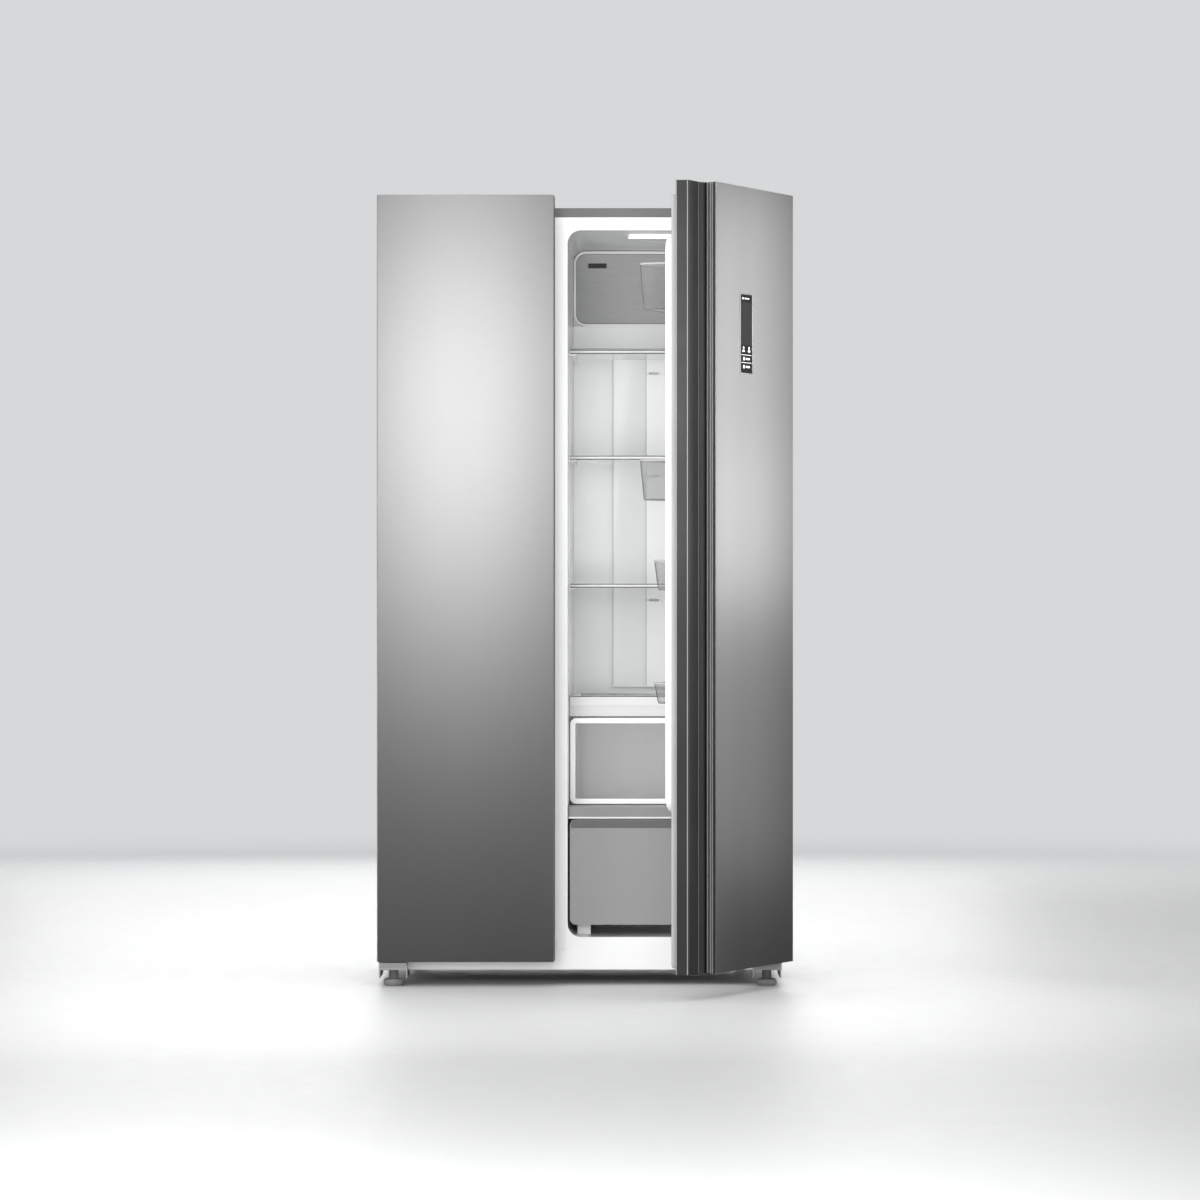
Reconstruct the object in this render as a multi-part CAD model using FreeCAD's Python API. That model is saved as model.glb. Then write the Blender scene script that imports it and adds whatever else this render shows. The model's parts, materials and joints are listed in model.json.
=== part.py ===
import FreeCAD, Part
import math
import os

# Side by side refrigerator with a freezer on the left and a larder on the right.
# Row frame: X = 0 at the middle of the cabinet, Y = 0 at the middle of its depth, Z = 0 at the floor.
# The doors face -Y. The larder door stands open, the freezer door is closed.

# Driving dimensions, in millimetres and degrees
cabinet_width = 910.0
cabinet_depth = 570.0
cabinet_bottom = 34.0
cabinet_top = 1750.0
door_bottom = 56.0
door_rise = 24.0
door_thickness = 61.0
door_standoff = 13.0
door_split_x = -56.0
door_gap = 3.0
larder_door_angle = 65.0
shell_sheet = 1.0
panel_sheet = 0.8
frame_thickness = 4.0
top_band_height = 21.0
liner_wall = 2.0
side_wall = 45.0
top_wall = 50.0
mullion_width = 55.0
opening_bottom = 107.0
opening_corner = 30.0
opening_depth = 500.0
liner_draft = 11.0
machine_room_depth = 200.0
machine_room_top = 290.0
step_wall = 45.0

# Larder interior
bay_shares = (0.243, 0.277, 0.229)
shelf_setback = 115.0
shelf_glass = 4.0
shelf_trim_height = 9.0
ledge_width = 20.0
ledge_height = 6.0
crisper_height = 196.0
cover_bar_height = 46.0
divider_height = 21.0
divider_rise = 65.0
lower_drawer_bottom = 134.0
drawer_gap = 2.0
crisper_cover_gap = 4.0
divider_drawer_gap = 8.0
lower_drawer_setback = 15.0
drawer_wall = 2.5
drawer_front = 5.0
drawer_rim = 9.0
drawer_corner = 14.0
drawer_hinge_side_gap = 25.0
duct_width = 231.0
duct_rib_width = 75.0
duct_thickness = 12.0
duct_start_rise = 14.0
duct_rib_depth = 6.0
duct_ledge_rise = 21.0
duct_ledge_height = 52.0
duct_ledge_depth = 28.0
cooling_panel_thickness = 2.0
vent_slot_width = 42.0
vent_slot_height = 10.0
lamp_length = 168.0
lamp_width = 33.0
lamp_setback = 137.0
lamp_drop = 5.0

# Freezer interior
freezer_cover_setback = 403.0
freezer_cover_sheet = 3.0
freezer_shelf_shares = (0.24, 0.5, 0.75)
freezer_drawer_rise = 35.0
freezer_drawer_pitch = 250.0
freezer_drawer_height = 235.0
freezer_drawer_setbacks = (80.0, 110.0)
evaporator_height = 330.0
evaporator_thickness = 58.0
fin_pitch = 10.0
fin_sheet = 1.0
coil_radius = 4.0
freezer_fan_radius = 50.0
freezer_fan_rise = 120.0

# Doors
grip_channel_width = 76.0
grip_trim_wall = 3.0
undercut_lip = (7.7, 10.0)
undercut_deep = (14.6, 24.5)
channel_floor_depth = 36.0
channel_slope = 11.0
end_cap_plate = 6.0
hinge_boss_depth = 26.0
hinge_boss_width = 34.0
hinge_pin_inset = 14.0
hinge_pin_setback = 35.0
hinge_pin_radius = 5.0
pin_clearance = 0.05
hinge_plate = 4.0
hinge_cover_width = 61.0
hinge_cover_sheet = 3.0
hinge_cover_drop = 4.0
hinge_arm_half_width = 10.0
hinge_eye_radius = 12.0
hinge_pocket_front = 14.0
hinge_pocket_width = 32.0
lower_hinge_plate = 7.5
washer_thickness = 2.0
gasket_width = 14.0
gasket_gap = 0.3
gasket_free_inset = 4.5
gasket_hinge_inset = 19.0
gasket_top_inset = 30.0
gasket_bottom_inset = 14.0
door_liner_sheet = 2.5
dyke_rise = 1.0
dyke_top_drop = 107.0
dyke_free_inset = 38.5
dyke_hinge_inset = 59.0
dyke_height = 44.0
dyke_wall = 18.0
dyke_taper = 4.0
dyke_corner = 40.0
bin_wall = 2.0
bin_side_gap = 2.0
bin_shares = (0.19, 0.385, 0.54, 0.868)
bin_heights = (46.0, 66.0, 89.0, 102.0)
bin_depths = (86.0, 86.0, 120.0, 120.0)
bin_corner = 22.0
display_width = 69.0
display_height = 177.0
display_edge_distance = 132.0
display_top_drop = 234.0
display_bezel_width = 1.5
display_glass_thickness = 2.4
display_proud = 0.4
board_sheet = 1.6

# Base
foot_pad_radius = 22.5
foot_pad_height = 17.0
foot_stem_radius = 11.0
bracket_width = 63.5
bracket_inset = 4.0
bracket_sheet = 3.0
bracket_reach = 62.0
foot_setback = 26.0
roller_radius = 15.0
roller_width = 18.0
roller_inset = 75.0
roller_rear_inset = 40.0
axle_radius = 3.0

# Machine room
compressor_radius = 62.0
compressor_height = 150.0
machine_fan_radius = 62.0
pipe_radius = 4.0
tray_wall = 2.0
coil_pitch = 32.0
gland_radius = 8.0
gland_flange_radius = 13.0
gland_bore_radius = 4.0
screw_radius = 2.5
screw_head_radius = 5.0
screw_head_height = 2.5
screw_grip = 8.0

# Worked-out places
half_width = cabinet_width / 2
front_y = -cabinet_depth / 2
back_y = cabinet_depth / 2
frame_back_y = front_y + frame_thickness
door_back_y = front_y - door_standoff
door_front_y = door_back_y - door_thickness
gasket_back_y = front_y - gasket_gap
opening_top = cabinet_top - top_wall
larder_x = (door_split_x + mullion_width / 2, half_width - side_wall)
freezer_x = (-half_width + side_wall, door_split_x - mullion_width / 2)
rear_wall_y = front_y + opening_depth
step_y = back_y - machine_room_depth - step_wall
step_z = machine_room_top + step_wall
pin_x = half_width - hinge_pin_inset
pin_y = door_front_y + hinge_pin_setback
shelf_front_y = front_y + shelf_setback
door_top = cabinet_top + door_rise
divider_top = step_z + divider_rise
crisper_bottom = divider_top + drawer_gap
crisper_top = crisper_bottom + crisper_height
cover_top = crisper_top + crisper_cover_gap + cover_bar_height
lower_drawer_top = divider_top - divider_height - divider_drawer_gap
lowest_drawer_top = step_z + freezer_drawer_rise
freezer_drawer_tops = (lowest_drawer_top, lowest_drawer_top + freezer_drawer_pitch)
dyke_bottom = divider_top + dyke_rise
larder_mid_x = sum(larder_x) / 2
shelf_tops = [
    cover_top + sum(bay_shares[: i + 1]) * (opening_top - cover_top)
    for i in range(len(bay_shares))
]
duct_front_y = rear_wall_y - duct_thickness - duct_rib_depth
shelf_back_y = rear_wall_y - duct_ledge_depth - 4.0
machine_front_y = back_y - machine_room_depth
running_gap = 0.5
seat_gap = 0.2

UP = FreeCAD.Vector(0, 0, 1)
ALONG_X = FreeCAD.Vector(1, 0, 0)
ALONG_Y = FreeCAD.Vector(0, 1, 0)


def point(x, y, z):
    return FreeCAD.Vector(x, y, z)


def box(x, y, z):
    """A block between two values on each axis."""
    return Part.makeBox(x[1] - x[0], y[1] - y[0], z[1] - z[0], point(x[0], y[0], z[0]))


def cylinder(centre, radius, length, direction=UP):
    return Part.makeCylinder(radius, length, centre, direction)


def join(shapes):
    """One solid from pieces that touch or overlap."""
    if len(shapes) == 1:
        return shapes[0]
    return shapes[0].multiFuse(shapes[1:]).removeSplitter()


def cut(shape, tools):
    for tool in tools:
        shape = shape.cut(tool)
    return shape


def rounded_wire(x, z, y, radius):
    """A rounded rectangle that stands in the XZ plane at y."""
    k = radius * (1 - math.sqrt(0.5))
    (x0, x1), (z0, z1) = x, z
    corners = [
        (point(x1 - radius, y, z0), point(x1 - k, y, z0 + k), point(x1, y, z0 + radius)),
        (point(x1, y, z1 - radius), point(x1 - k, y, z1 - k), point(x1 - radius, y, z1)),
        (point(x0 + radius, y, z1), point(x0 + k, y, z1 - k), point(x0, y, z1 - radius)),
        (point(x0, y, z0 + radius), point(x0 + k, y, z0 + k), point(x0 + radius, y, z0)),
    ]
    edges = []
    for i, corner in enumerate(corners):
        edges.append(Part.Arc(*corner).toShape())
        edges.append(Part.LineSegment(corner[2], corners[(i + 1) % 4][0]).toShape())
    return Part.Wire(edges)


def rounded_block(x, y, z, radius):
    """A block with its four edges along Y rounded."""
    face = Part.Face(rounded_wire(x, z, y[0], radius))
    return face.extrude(point(0, y[1] - y[0], 0))


def tapered_block(x, y, z, radius, taper):
    """A rounded block whose far end is smaller by taper all round."""
    far_radius = max(radius - taper, 1.0)
    near = rounded_wire(x, z, y[0], radius)
    far = rounded_wire(
        (x[0] + taper, x[1] - taper), (z[0] + taper, z[1] - taper), y[1], far_radius
    )
    return Part.makeLoft([near, far], True, True)


def upright_block(x, y, z, radius):
    """A block with its four vertical edges rounded."""
    solid = box(x, y, z)
    edges = [e for e in solid.Edges if abs(e.tangentAt(e.FirstParameter).z) > 0.9]
    return solid.makeFillet(radius, edges)


def prism(points, z):
    """A polygon in plan, raised between two heights."""
    face = Part.Face(Part.makePolygon([point(px, py, z[0]) for px, py in points + points[:1]]))
    return face.extrude(point(0, 0, z[1] - z[0]))


def mirror(shape):
    return shape.mirror(point(0, 0, 0), ALONG_X)


def pipe(route, radius):
    """A round pipe along straight runs with ball corners."""
    pieces = []
    for start, end in zip(route, route[1:]):
        run = end - start
        pieces.append(Part.makeCylinder(radius, run.Length, start, run))
    for corner in route[1:-1]:
        pieces.append(Part.makeSphere(radius, corner))
    return join(pieces)


def fan_rotor(centre, direction, radius, hub_radius, depth, blades):
    """A hub with flat pitched blades, made on Z and then laid along its axis."""
    parts = [Part.makeCylinder(hub_radius, depth, point(0, 0, -depth / 2))]
    for i in range(blades):
        blade = Part.makeBox(
            radius - hub_radius + 2.0, depth * 1.5, 1.6, point(hub_radius - 2.0, -depth * 0.75, -0.8)
        )
        blade.rotate(point(0, 0, 0), ALONG_X, 32)
        blade.rotate(point(0, 0, 0), UP, 360.0 / blades * i)
        parts.append(blade)
    rotor = join(parts)
    bore = Part.makeCylinder(axle_radius + pin_clearance, depth * 3, point(0, 0, -depth * 1.5))
    rotor = rotor.cut(bore)
    rotor.Placement = FreeCAD.Placement(centre, FreeCAD.Rotation(UP, direction))
    return rotor


def save(name, shape):
    """Writes one sub-part, which may be a group of equal separate solids."""
    if isinstance(shape, list):
        shape = Part.makeCompound(shape)
    shape.exportStep("parts/%s.step" % name)


# Cabinet ---------------------------------------------------------------------------------------


def cavity(x, grow):
    """The food space behind one door, or the same space grown by a wall."""
    wide = (x[0] - grow, x[1] + grow)
    high = (opening_bottom - grow, opening_top + grow)
    near = rounded_wire(wide, high, frame_back_y, opening_corner + grow)
    far = rounded_wire(
        (wide[0] + liner_draft, wide[1] - liner_draft),
        (high[0] + liner_draft, high[1] - liner_draft),
        rear_wall_y + grow,
        opening_corner + grow,
    )
    space = Part.makeLoft([near, far], True, True)
    step = box(
        (wide[0] - 10, wide[1] + 10),
        (step_y + grow, rear_wall_y + 50),
        (opening_bottom - 50, step_z - grow),
    )
    return space.cut(step)


def ledges(x, tops, length):
    """Rows of small supports on both walls, each cut to the wall it grows from."""
    pieces = []
    for top in tops:
        height = (top - ledge_height, top)
        pieces.append(box((x[0] - 5, x[0] + ledge_width), length, height))
        pieces.append(box((x[1] - ledge_width, x[1] + 5), length, height))
    return pieces


def liner(x, tops, rails, ledge_back_y):
    """A vacuum-formed lining with its shelf supports and the rails under its lowest drawer."""
    outer = cavity(x, liner_wall)
    length = (shelf_front_y + 20, ledge_back_y)
    extras = ledges(x, tops, length)
    floor_run = (front_y + 70, step_y - 15)
    for rail_x in (x[0] + 22, x[1] - 52):
        extras.append(box((rail_x, rail_x + 30), floor_run, (opening_bottom - 5, rails)))
    shell = outer.cut(cavity(x, 0))
    return join([shell] + [piece.common(outer) for piece in extras])


def shell_screw_places():
    """Screws of the top hinge plates, right side first."""
    places = []
    for side in (1, -1):
        for dx, dy in ((-12, 30), (-42, 30), (-12, 62), (-42, 62)):
            places.append((side * (half_width + dx), front_y + dy))
    return places


def screw(x, y, seat_z, head_radius, grip):
    """A pan-head screw pointing down from its seat."""
    head = cylinder(point(x, y, seat_z), head_radius, screw_head_height)
    rim = [e for e in head.Edges if e.BoundBox.ZMin > seat_z + 1 and e.Closed]
    head = head.makeFillet(1.0, rim)
    return head.fuse(cylinder(point(x, y, seat_z - grip), screw_radius, grip))


larder_cavity = cavity(larder_x, 0)
os.makedirs("parts", exist_ok=True)

# Outer shell: both sides and the top, folded from one sheet
board_box_x = (-120.0, 120.0)
board_box_y = (back_y - 225, back_y - 65)
board_box_bottom = cabinet_top - 34.0
side_sheet = box(
    (half_width - shell_sheet, half_width), (frame_back_y, back_y), (cabinet_bottom, cabinet_top)
)
top_sheet = box(
    (-half_width, half_width), (frame_back_y, back_y), (cabinet_top - shell_sheet, cabinet_top)
)
outer_shell = join([side_sheet, mirror(side_sheet), top_sheet])
board_hatch = box(board_box_x, board_box_y, (board_box_bottom, cabinet_top + 1))
screw_holes = [
    cylinder(point(x, y, cabinet_top - screw_grip), screw_radius, screw_grip)
    for x, y in shell_screw_places()
]
save("outer_shell", cut(outer_shell, [board_hatch] + screw_holes))

inner_x = (-half_width + shell_sheet, half_width - shell_sheet)
rear_sheet_y = (back_y - shell_sheet, back_y)
save("rear_panel", box(inner_x, rear_sheet_y, (machine_room_top, cabinet_top - shell_sheet)))
base_top = cabinet_bottom + shell_sheet

# Base pan with the sheet step that separates the machine room from the insulation
base_sheet = box(inner_x, (frame_back_y, back_y), (cabinet_bottom, base_top))
deck_sheet_y = (machine_front_y, machine_front_y + shell_sheet)
deck_wall = box(inner_x, deck_sheet_y, (base_top, machine_room_top))
deck_roof = box(
    inner_x,
    (machine_front_y, rear_sheet_y[0]),
    (machine_room_top - shell_sheet, machine_room_top),
)
save("base_pan", join([base_sheet, deck_wall, deck_roof]))

# Front frame around both openings, with a strip over the post between them
frame_top = cabinet_top - top_band_height
openings = [
    rounded_block(x, (front_y - 1, frame_back_y + 1), (opening_bottom, opening_top), opening_corner)
    for x in (larder_x, freezer_x)
]
strip_x = (door_split_x - 19.5, door_split_x + 19.5)
strip_z = (opening_bottom - 27, opening_top + 4)
mullion_strip = box(strip_x, (front_y, front_y + 0.8), strip_z)
front_frame = box((-half_width, half_width), (front_y, frame_back_y), (cabinet_bottom, frame_top))
save("front_frame", cut(front_frame, openings + [mullion_strip]))
save("mullion_strip", mullion_strip)
save(
    "top_band",
    box((-half_width, half_width), (front_y, frame_back_y), (frame_top, cabinet_top)),
)

shelf_drop = shelf_trim_height - 3.0
cover_y = front_y + freezer_cover_setback
freezer_bays_bottom = freezer_drawer_tops[1] + 20
freezer_tops = [
    freezer_bays_bottom + share * (opening_top - freezer_bays_bottom)
    for share in freezer_shelf_shares
]
upper_rail_top = freezer_drawer_tops[1] - freezer_drawer_height - running_gap
larder_liner = liner(
    larder_x,
    [top - shelf_drop for top in shelf_tops],
    lower_drawer_bottom - running_gap,
    shelf_back_y - 40,
)
freezer_liner = liner(
    freezer_x,
    [upper_rail_top] + [top - shelf_drop for top in freezer_tops],
    freezer_drawer_tops[0] - freezer_drawer_height - running_gap,
    cover_y - 20,
)
save("larder_liner", larder_liner)
save("freezer_liner", freezer_liner)

block = box(inner_x, (frame_back_y, rear_sheet_y[0]), (base_top, cabinet_top - shell_sheet))
machine_room = box(
    (inner_x[0] - 1, inner_x[1] + 1), (machine_front_y, back_y), (base_top - 1, machine_room_top)
)
foam = cut(
    block,
    [cavity(larder_x, liner_wall), cavity(freezer_x, liner_wall)]
    + [machine_room, board_hatch]
    + screw_holes,
)
save("cabinet_foam", foam)

# Larder fittings -------------------------------------------------------------------------------


def glass_shelf(x, top, back):
    """A glass plate and the clear trim along its front edge."""
    clear = liner_draft + 3.0
    glass_top = top - 2.0
    glass = box(
        (x[0] + clear, x[1] - clear),
        (shelf_front_y + 3, back),
        (glass_top - shelf_glass, glass_top),
    )
    trim = box(
        (x[0] + 4.0, x[1] - 4.0),
        (shelf_front_y - 3, shelf_front_y + 12),
        (top - shelf_trim_height, top),
    )
    return glass, trim.cut(glass)


larder_shelves = [glass_shelf(larder_x, top, shelf_back_y) for top in shelf_tops]

# Cover over the crisper: a glass plate in a frame with a deep front bar
cover_x = (larder_x[0] + 4, larder_x[1] - 4)
cover_glass_x = (larder_x[0] + liner_draft + 8, larder_x[1] - liner_draft - 8)
cover_plate = box(cover_glass_x, (shelf_front_y + 6, shelf_back_y), (cover_top - 6, cover_top - 2))
save("larder_shelf_glass", [glass for glass, trim in larder_shelves] + [cover_plate])
cover_frame = box(cover_x, (shelf_front_y - 3, shelf_back_y + 4), (cover_top - 12, cover_top))
cover_window = box(
    (cover_glass_x[0] + 10, cover_glass_x[1] - 10),
    (shelf_front_y + 16, shelf_back_y - 10),
    (cover_top - 20, cover_top + 1),
)
cover_bar_y = (shelf_front_y - 3, shelf_front_y + 6)
cover_bar = box(cover_x, cover_bar_y, (cover_top - cover_bar_height, cover_top))
cover_frame = join([cover_frame, cover_bar]).cut(cover_window).cut(cover_plate)
cover_frame = cover_frame.common(cavity(larder_x, -seat_gap))
save("larder_shelf_trims", [trim for glass, trim in larder_shelves] + [cover_frame])

# Divider between the crisper and the lower drawer, with its pale front line
divider_y = (front_y + 22, rear_wall_y - 5)
divider = box(
    (larder_x[0] - 5, larder_x[1] + 5), divider_y, (divider_top - divider_height, divider_top)
)
divider_lip = box(
    (larder_x[0] - 5, larder_x[1] + 5),
    (divider_y[0], divider_y[0] + 8),
    (divider_top - divider_height - 6, divider_top - divider_height),
)
save("drawer_divider", join([divider, divider_lip]).common(cavity(larder_x, -seat_gap)))

# Air duct cover on the rear wall, with a ledge under the cooling panel
ledge_bottom = shelf_tops[-1] + duct_ledge_rise
ledge_top = ledge_bottom + duct_ledge_height
duct_panel = box(
    (larder_mid_x - duct_width / 2, larder_mid_x + duct_width / 2),
    (rear_wall_y - duct_thickness, rear_wall_y),
    (cover_top + duct_start_rise, ledge_bottom),
)
duct_rib = box(
    (larder_mid_x - duct_rib_width / 2, larder_mid_x + duct_rib_width / 2),
    (duct_front_y, rear_wall_y),
    (cover_top + duct_start_rise, ledge_bottom),
)
duct_ledge = box(
    (larder_x[0], larder_x[1]), (rear_wall_y - duct_ledge_depth, rear_wall_y), (ledge_bottom, ledge_top)
)
duct_cover = join([duct_panel, duct_rib, duct_ledge]).common(cavity(larder_x, -seat_gap))
duct_bore = box(
    (larder_mid_x - duct_rib_width / 2 + 6, larder_mid_x + duct_rib_width / 2 - 6),
    (duct_front_y + 4, rear_wall_y - 4),
    (cover_top + 30, ledge_top - 10),
)
air_slots = [
    box(
        (larder_mid_x + side * duct_rib_width / 4 - 12, larder_mid_x + side * duct_rib_width / 4 + 12),
        (duct_front_y - 1, duct_front_y + 6),
        (top - 40, top - 34),
    )
    for top in shelf_tops
    for side in (-1, 1)
]
duct_cover = cut(duct_cover, [duct_bore] + air_slots)

panel_x = (larder_x[0] + liner_draft + 3, larder_x[1] - liner_draft - 3)
panel_z = (ledge_top + 3, opening_top - liner_draft - 6)
panel_y = (rear_wall_y - 12, rear_wall_y - 12 + cooling_panel_thickness)
panel_corner = 26.0
cooling_panel = rounded_block(panel_x, panel_y, panel_z, panel_corner)
cooling_panel = cooling_panel.cut(
    box((panel_x[0], panel_x[1]), panel_y, (panel_z[0], panel_z[0] + 1))
)
vent_slot = box(
    (panel_x[0] + 32, panel_x[0] + 32 + vent_slot_width),
    (panel_y[0] - 1, panel_y[1] + 1),
    (panel_z[1] - 36, panel_z[1] - 36 + vent_slot_height),
)
save("cooling_panel", cooling_panel.cut(vent_slot))
panel_frame = rounded_block(
    (panel_x[0] - 2.5, panel_x[1] + 2.5),
    (panel_y[0] - 3, rear_wall_y - 1),
    (panel_z[0] - 2.5, panel_z[1] + 2.5),
    panel_corner + 2.5,
)
panel_hole = rounded_block(
    (panel_x[0] + 3, panel_x[1] - 3),
    (panel_y[0] - 4, rear_wall_y),
    (panel_z[0] + 3, panel_z[1] - 3),
    panel_corner - 3,
)
panel_seat = rounded_block(panel_x, panel_y, panel_z, panel_corner)
panel_frame = cut(panel_frame, [panel_hole, panel_seat]).common(cavity(larder_x, -seat_gap))
save("larder_duct_cover", [duct_cover, panel_frame.cut(duct_cover)])

lamp_y = (front_y + lamp_setback, front_y + lamp_setback + lamp_width)
larder_lamp = upright_block(
    (larder_mid_x - lamp_length / 2, larder_mid_x + lamp_length / 2),
    lamp_y,
    (opening_top - lamp_drop - 4, opening_top + 5),
    8.0,
).common(larder_cavity)
save("larder_lamp", larder_lamp)

# Freezer fittings ------------------------------------------------------------------------------
freezer_cover = box(
    (freezer_x[0] - 5, freezer_x[1] + 5), (cover_y, cover_y + freezer_cover_sheet), (step_z, opening_top)
).common(cavity(freezer_x, -seat_gap))
freezer_mid_x = sum(freezer_x) / 2
coil_bottom = step_z + 75
fan_z = coil_bottom + evaporator_height + freezer_fan_rise
grille = [
    box(
        (freezer_mid_x - 60, freezer_mid_x + 60),
        (cover_y - 1, cover_y + freezer_cover_sheet + 1),
        (fan_z + 80 + row * 14, fan_z + 86 + row * 14),
    )
    for row in range(6)
]
return_grille = [
    box(
        (freezer_mid_x - 100, freezer_mid_x + 100),
        (cover_y - 1, cover_y + freezer_cover_sheet + 1),
        (step_z + 15 + row * 14, step_z + 21 + row * 14),
    )
    for row in range(4)
]
save("freezer_duct_cover", cut(freezer_cover, grille + return_grille))

coil_x = (freezer_x[0] + liner_draft + 20, freezer_x[1] - liner_draft - 20)
coil_mid_y = (cover_y + freezer_cover_sheet + rear_wall_y) / 2
coil_y = (coil_mid_y - evaporator_thickness / 2, coil_mid_y + evaporator_thickness / 2)
coil_z = (coil_bottom, coil_bottom + evaporator_height)
fin_count = int((coil_x[1] - coil_x[0] - 20) / fin_pitch)
coil = []
for i in range(fin_count):
    fin_x = coil_x[0] + 10 + i * fin_pitch
    coil.append(box((fin_x, fin_x + fin_sheet), coil_y, coil_z))
tube_rows = 6
for row in range(tube_rows):
    for column in (-1, 1):
        tube_z = coil_bottom + evaporator_height * (row + 0.5) / tube_rows
        start = point(coil_x[0], coil_mid_y + column * evaporator_thickness / 4, tube_z)
        coil.append(cylinder(start, coil_radius, coil_x[1] - coil_x[0], ALONG_X))
for end in coil_x:
    for column in (-1, 1):
        header = point(end, coil_mid_y + column * evaporator_thickness / 4, coil_bottom + 15)
        coil.append(cylinder(header, coil_radius + 1, evaporator_height - 30))
save("evaporator_coil", join(coil))

heater_z = coil_bottom - 22
heater = cylinder(point(coil_x[0] + 12, coil_mid_y, heater_z), 6, coil_x[1] - coil_x[0] - 24, ALONG_X)
heater_caps = [
    cylinder(point(x, coil_mid_y, heater_z), 9, 12, ALONG_X) for x in (coil_x[0], coil_x[1] - 12)
]
save("defrost_heater", [heater] + heater_caps)

fan_depth = 16.0
fan_centre = point(freezer_mid_x, cover_y + 34, fan_z)
save("freezer_fan", fan_rotor(fan_centre, ALONG_Y, freezer_fan_radius, 15, fan_depth, 7))
motor_start = fan_centre.y + fan_depth / 2 + 4
motor = cylinder(point(freezer_mid_x, motor_start, fan_z), 20, 24, ALONG_Y)
motor_shaft = cylinder(point(freezer_mid_x, fan_centre.y - 12, fan_z), axle_radius, 24, ALONG_Y)
motor = join([motor, motor_shaft])
ring_y = (fan_centre.y - 12, fan_centre.y + 12)
fan_ring = cut(
    box((freezer_mid_x - 66, freezer_mid_x + 66), ring_y, (fan_z - 66, fan_z + 66)),
    [cylinder(point(freezer_mid_x, ring_y[0] - 1, fan_z), freezer_fan_radius + 5, 40, ALONG_Y)],
)
motor_arms = [
    box(
        (freezer_mid_x + side * 43 - 23, freezer_mid_x + side * 43 + 23),
        (motor_start + 6, motor_start + 10),
        (fan_z - 5, fan_z + 5),
    )
    for side in (-1, 1)
]
arm_posts = [
    box(
        (freezer_mid_x + side * 61 - 5, freezer_mid_x + side * 61 + 5),
        (ring_y[1] - 1, motor_start + 10),
        (fan_z - 5, fan_z + 5),
    )
    for side in (-1, 1)
]
fan_bracket = join([fan_ring] + arm_posts + motor_arms)
save("freezer_fan_motor", [motor, fan_bracket.cut(motor)])

freezer_shelves = [glass_shelf(freezer_x, top, cover_y - 4) for top in freezer_tops]
save("freezer_shelves", [join([glass, trim]) for glass, trim in freezer_shelves])

# Drawers ---------------------------------------------------------------------------------------


def drawer(front_x, tub_x, y, z):
    """An open tub with rounded corners and a rim, behind a front plate."""
    front_plate = rounded_block(front_x, (y[0], y[0] + drawer_front), z, drawer_corner)
    tub_y = (y[0] + drawer_front - 1, y[1])
    tub = upright_block(tub_x, tub_y, z, drawer_corner)
    room = upright_block(
        (tub_x[0] + drawer_wall, tub_x[1] - drawer_wall),
        (tub_y[0] + 1, y[1] - drawer_wall),
        (z[0] + drawer_wall, z[1] + 1),
        drawer_corner - drawer_wall,
    )
    rim = upright_block(tub_x, tub_y, (z[1] - drawer_wall, z[1]), drawer_corner).cut(
        upright_block(
            (tub_x[0] + drawer_rim, tub_x[1] - drawer_rim),
            (tub_y[0] + 1, tub_y[1] - drawer_rim),
            (z[1] - 10, z[1] + 1),
            drawer_corner - drawer_wall,
        )
    )
    return join([front_plate, tub.cut(room), rim])


larder_tub_x = (larder_x[0] + liner_draft + 3, larder_x[1] - drawer_hinge_side_gap)
larder_front_x = (larder_x[0] + 5, larder_tub_x[1])
crisper_y = (shelf_front_y, rear_wall_y - 30)
crisper_z = (crisper_bottom, crisper_top)
save("crisper_drawer", drawer(larder_front_x, larder_tub_x, crisper_y, crisper_z))
lower_y = (front_y + lower_drawer_setback, step_y - 10)
lower_z = (lower_drawer_bottom, lower_drawer_top)
save("lower_drawer", drawer(larder_front_x, larder_tub_x, lower_y, lower_z))
freezer_tub_x = (freezer_x[0] + liner_draft + 4, freezer_x[1] - liner_draft - 3)
freezer_drawer_backs = (step_y - 10, cover_y - 10)
freezer_drawers = zip(freezer_drawer_tops, freezer_drawer_setbacks, freezer_drawer_backs)
for number, (top, setback, tub_back) in enumerate(freezer_drawers, 1):
    tub_y = (front_y + setback, tub_back)
    tub_z = (top - freezer_drawer_height, top)
    save("freezer_drawer_%d" % number, drawer(freezer_tub_x, freezer_tub_x, tub_y, tub_z))

# Doors, modelled closed on the right-hand side -------------------------------------------------


def door_outline(free_x, panel_x):
    """Plan of a door: its face ends at panel_x, its back reaches free_x."""
    y = door_front_y
    lip = [
        (panel_x, y),
        (half_width, y),
        (half_width, door_back_y),
        (free_x, door_back_y),
    ]
    if panel_x > free_x:
        lip.append((free_x + channel_slope, y + channel_floor_depth - 2))
        lip.append((panel_x - 3, y + channel_floor_depth))
    else:
        lip.append((free_x, y + channel_floor_depth))
    lip.append((panel_x + undercut_deep[0], y + undercut_deep[1]))
    lip.append((panel_x + undercut_lip[0], y + undercut_lip[1]))
    return lip


def shrunk(points, distance, z):
    """The plan moved inwards by a distance, raised between two heights."""
    face = Part.Face(Part.makePolygon([point(px, py, z[0]) for px, py in points + points[:1]]))
    return face.makeOffset2D(-distance, 2).extrude(point(0, 0, z[1] - z[0]))


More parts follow.
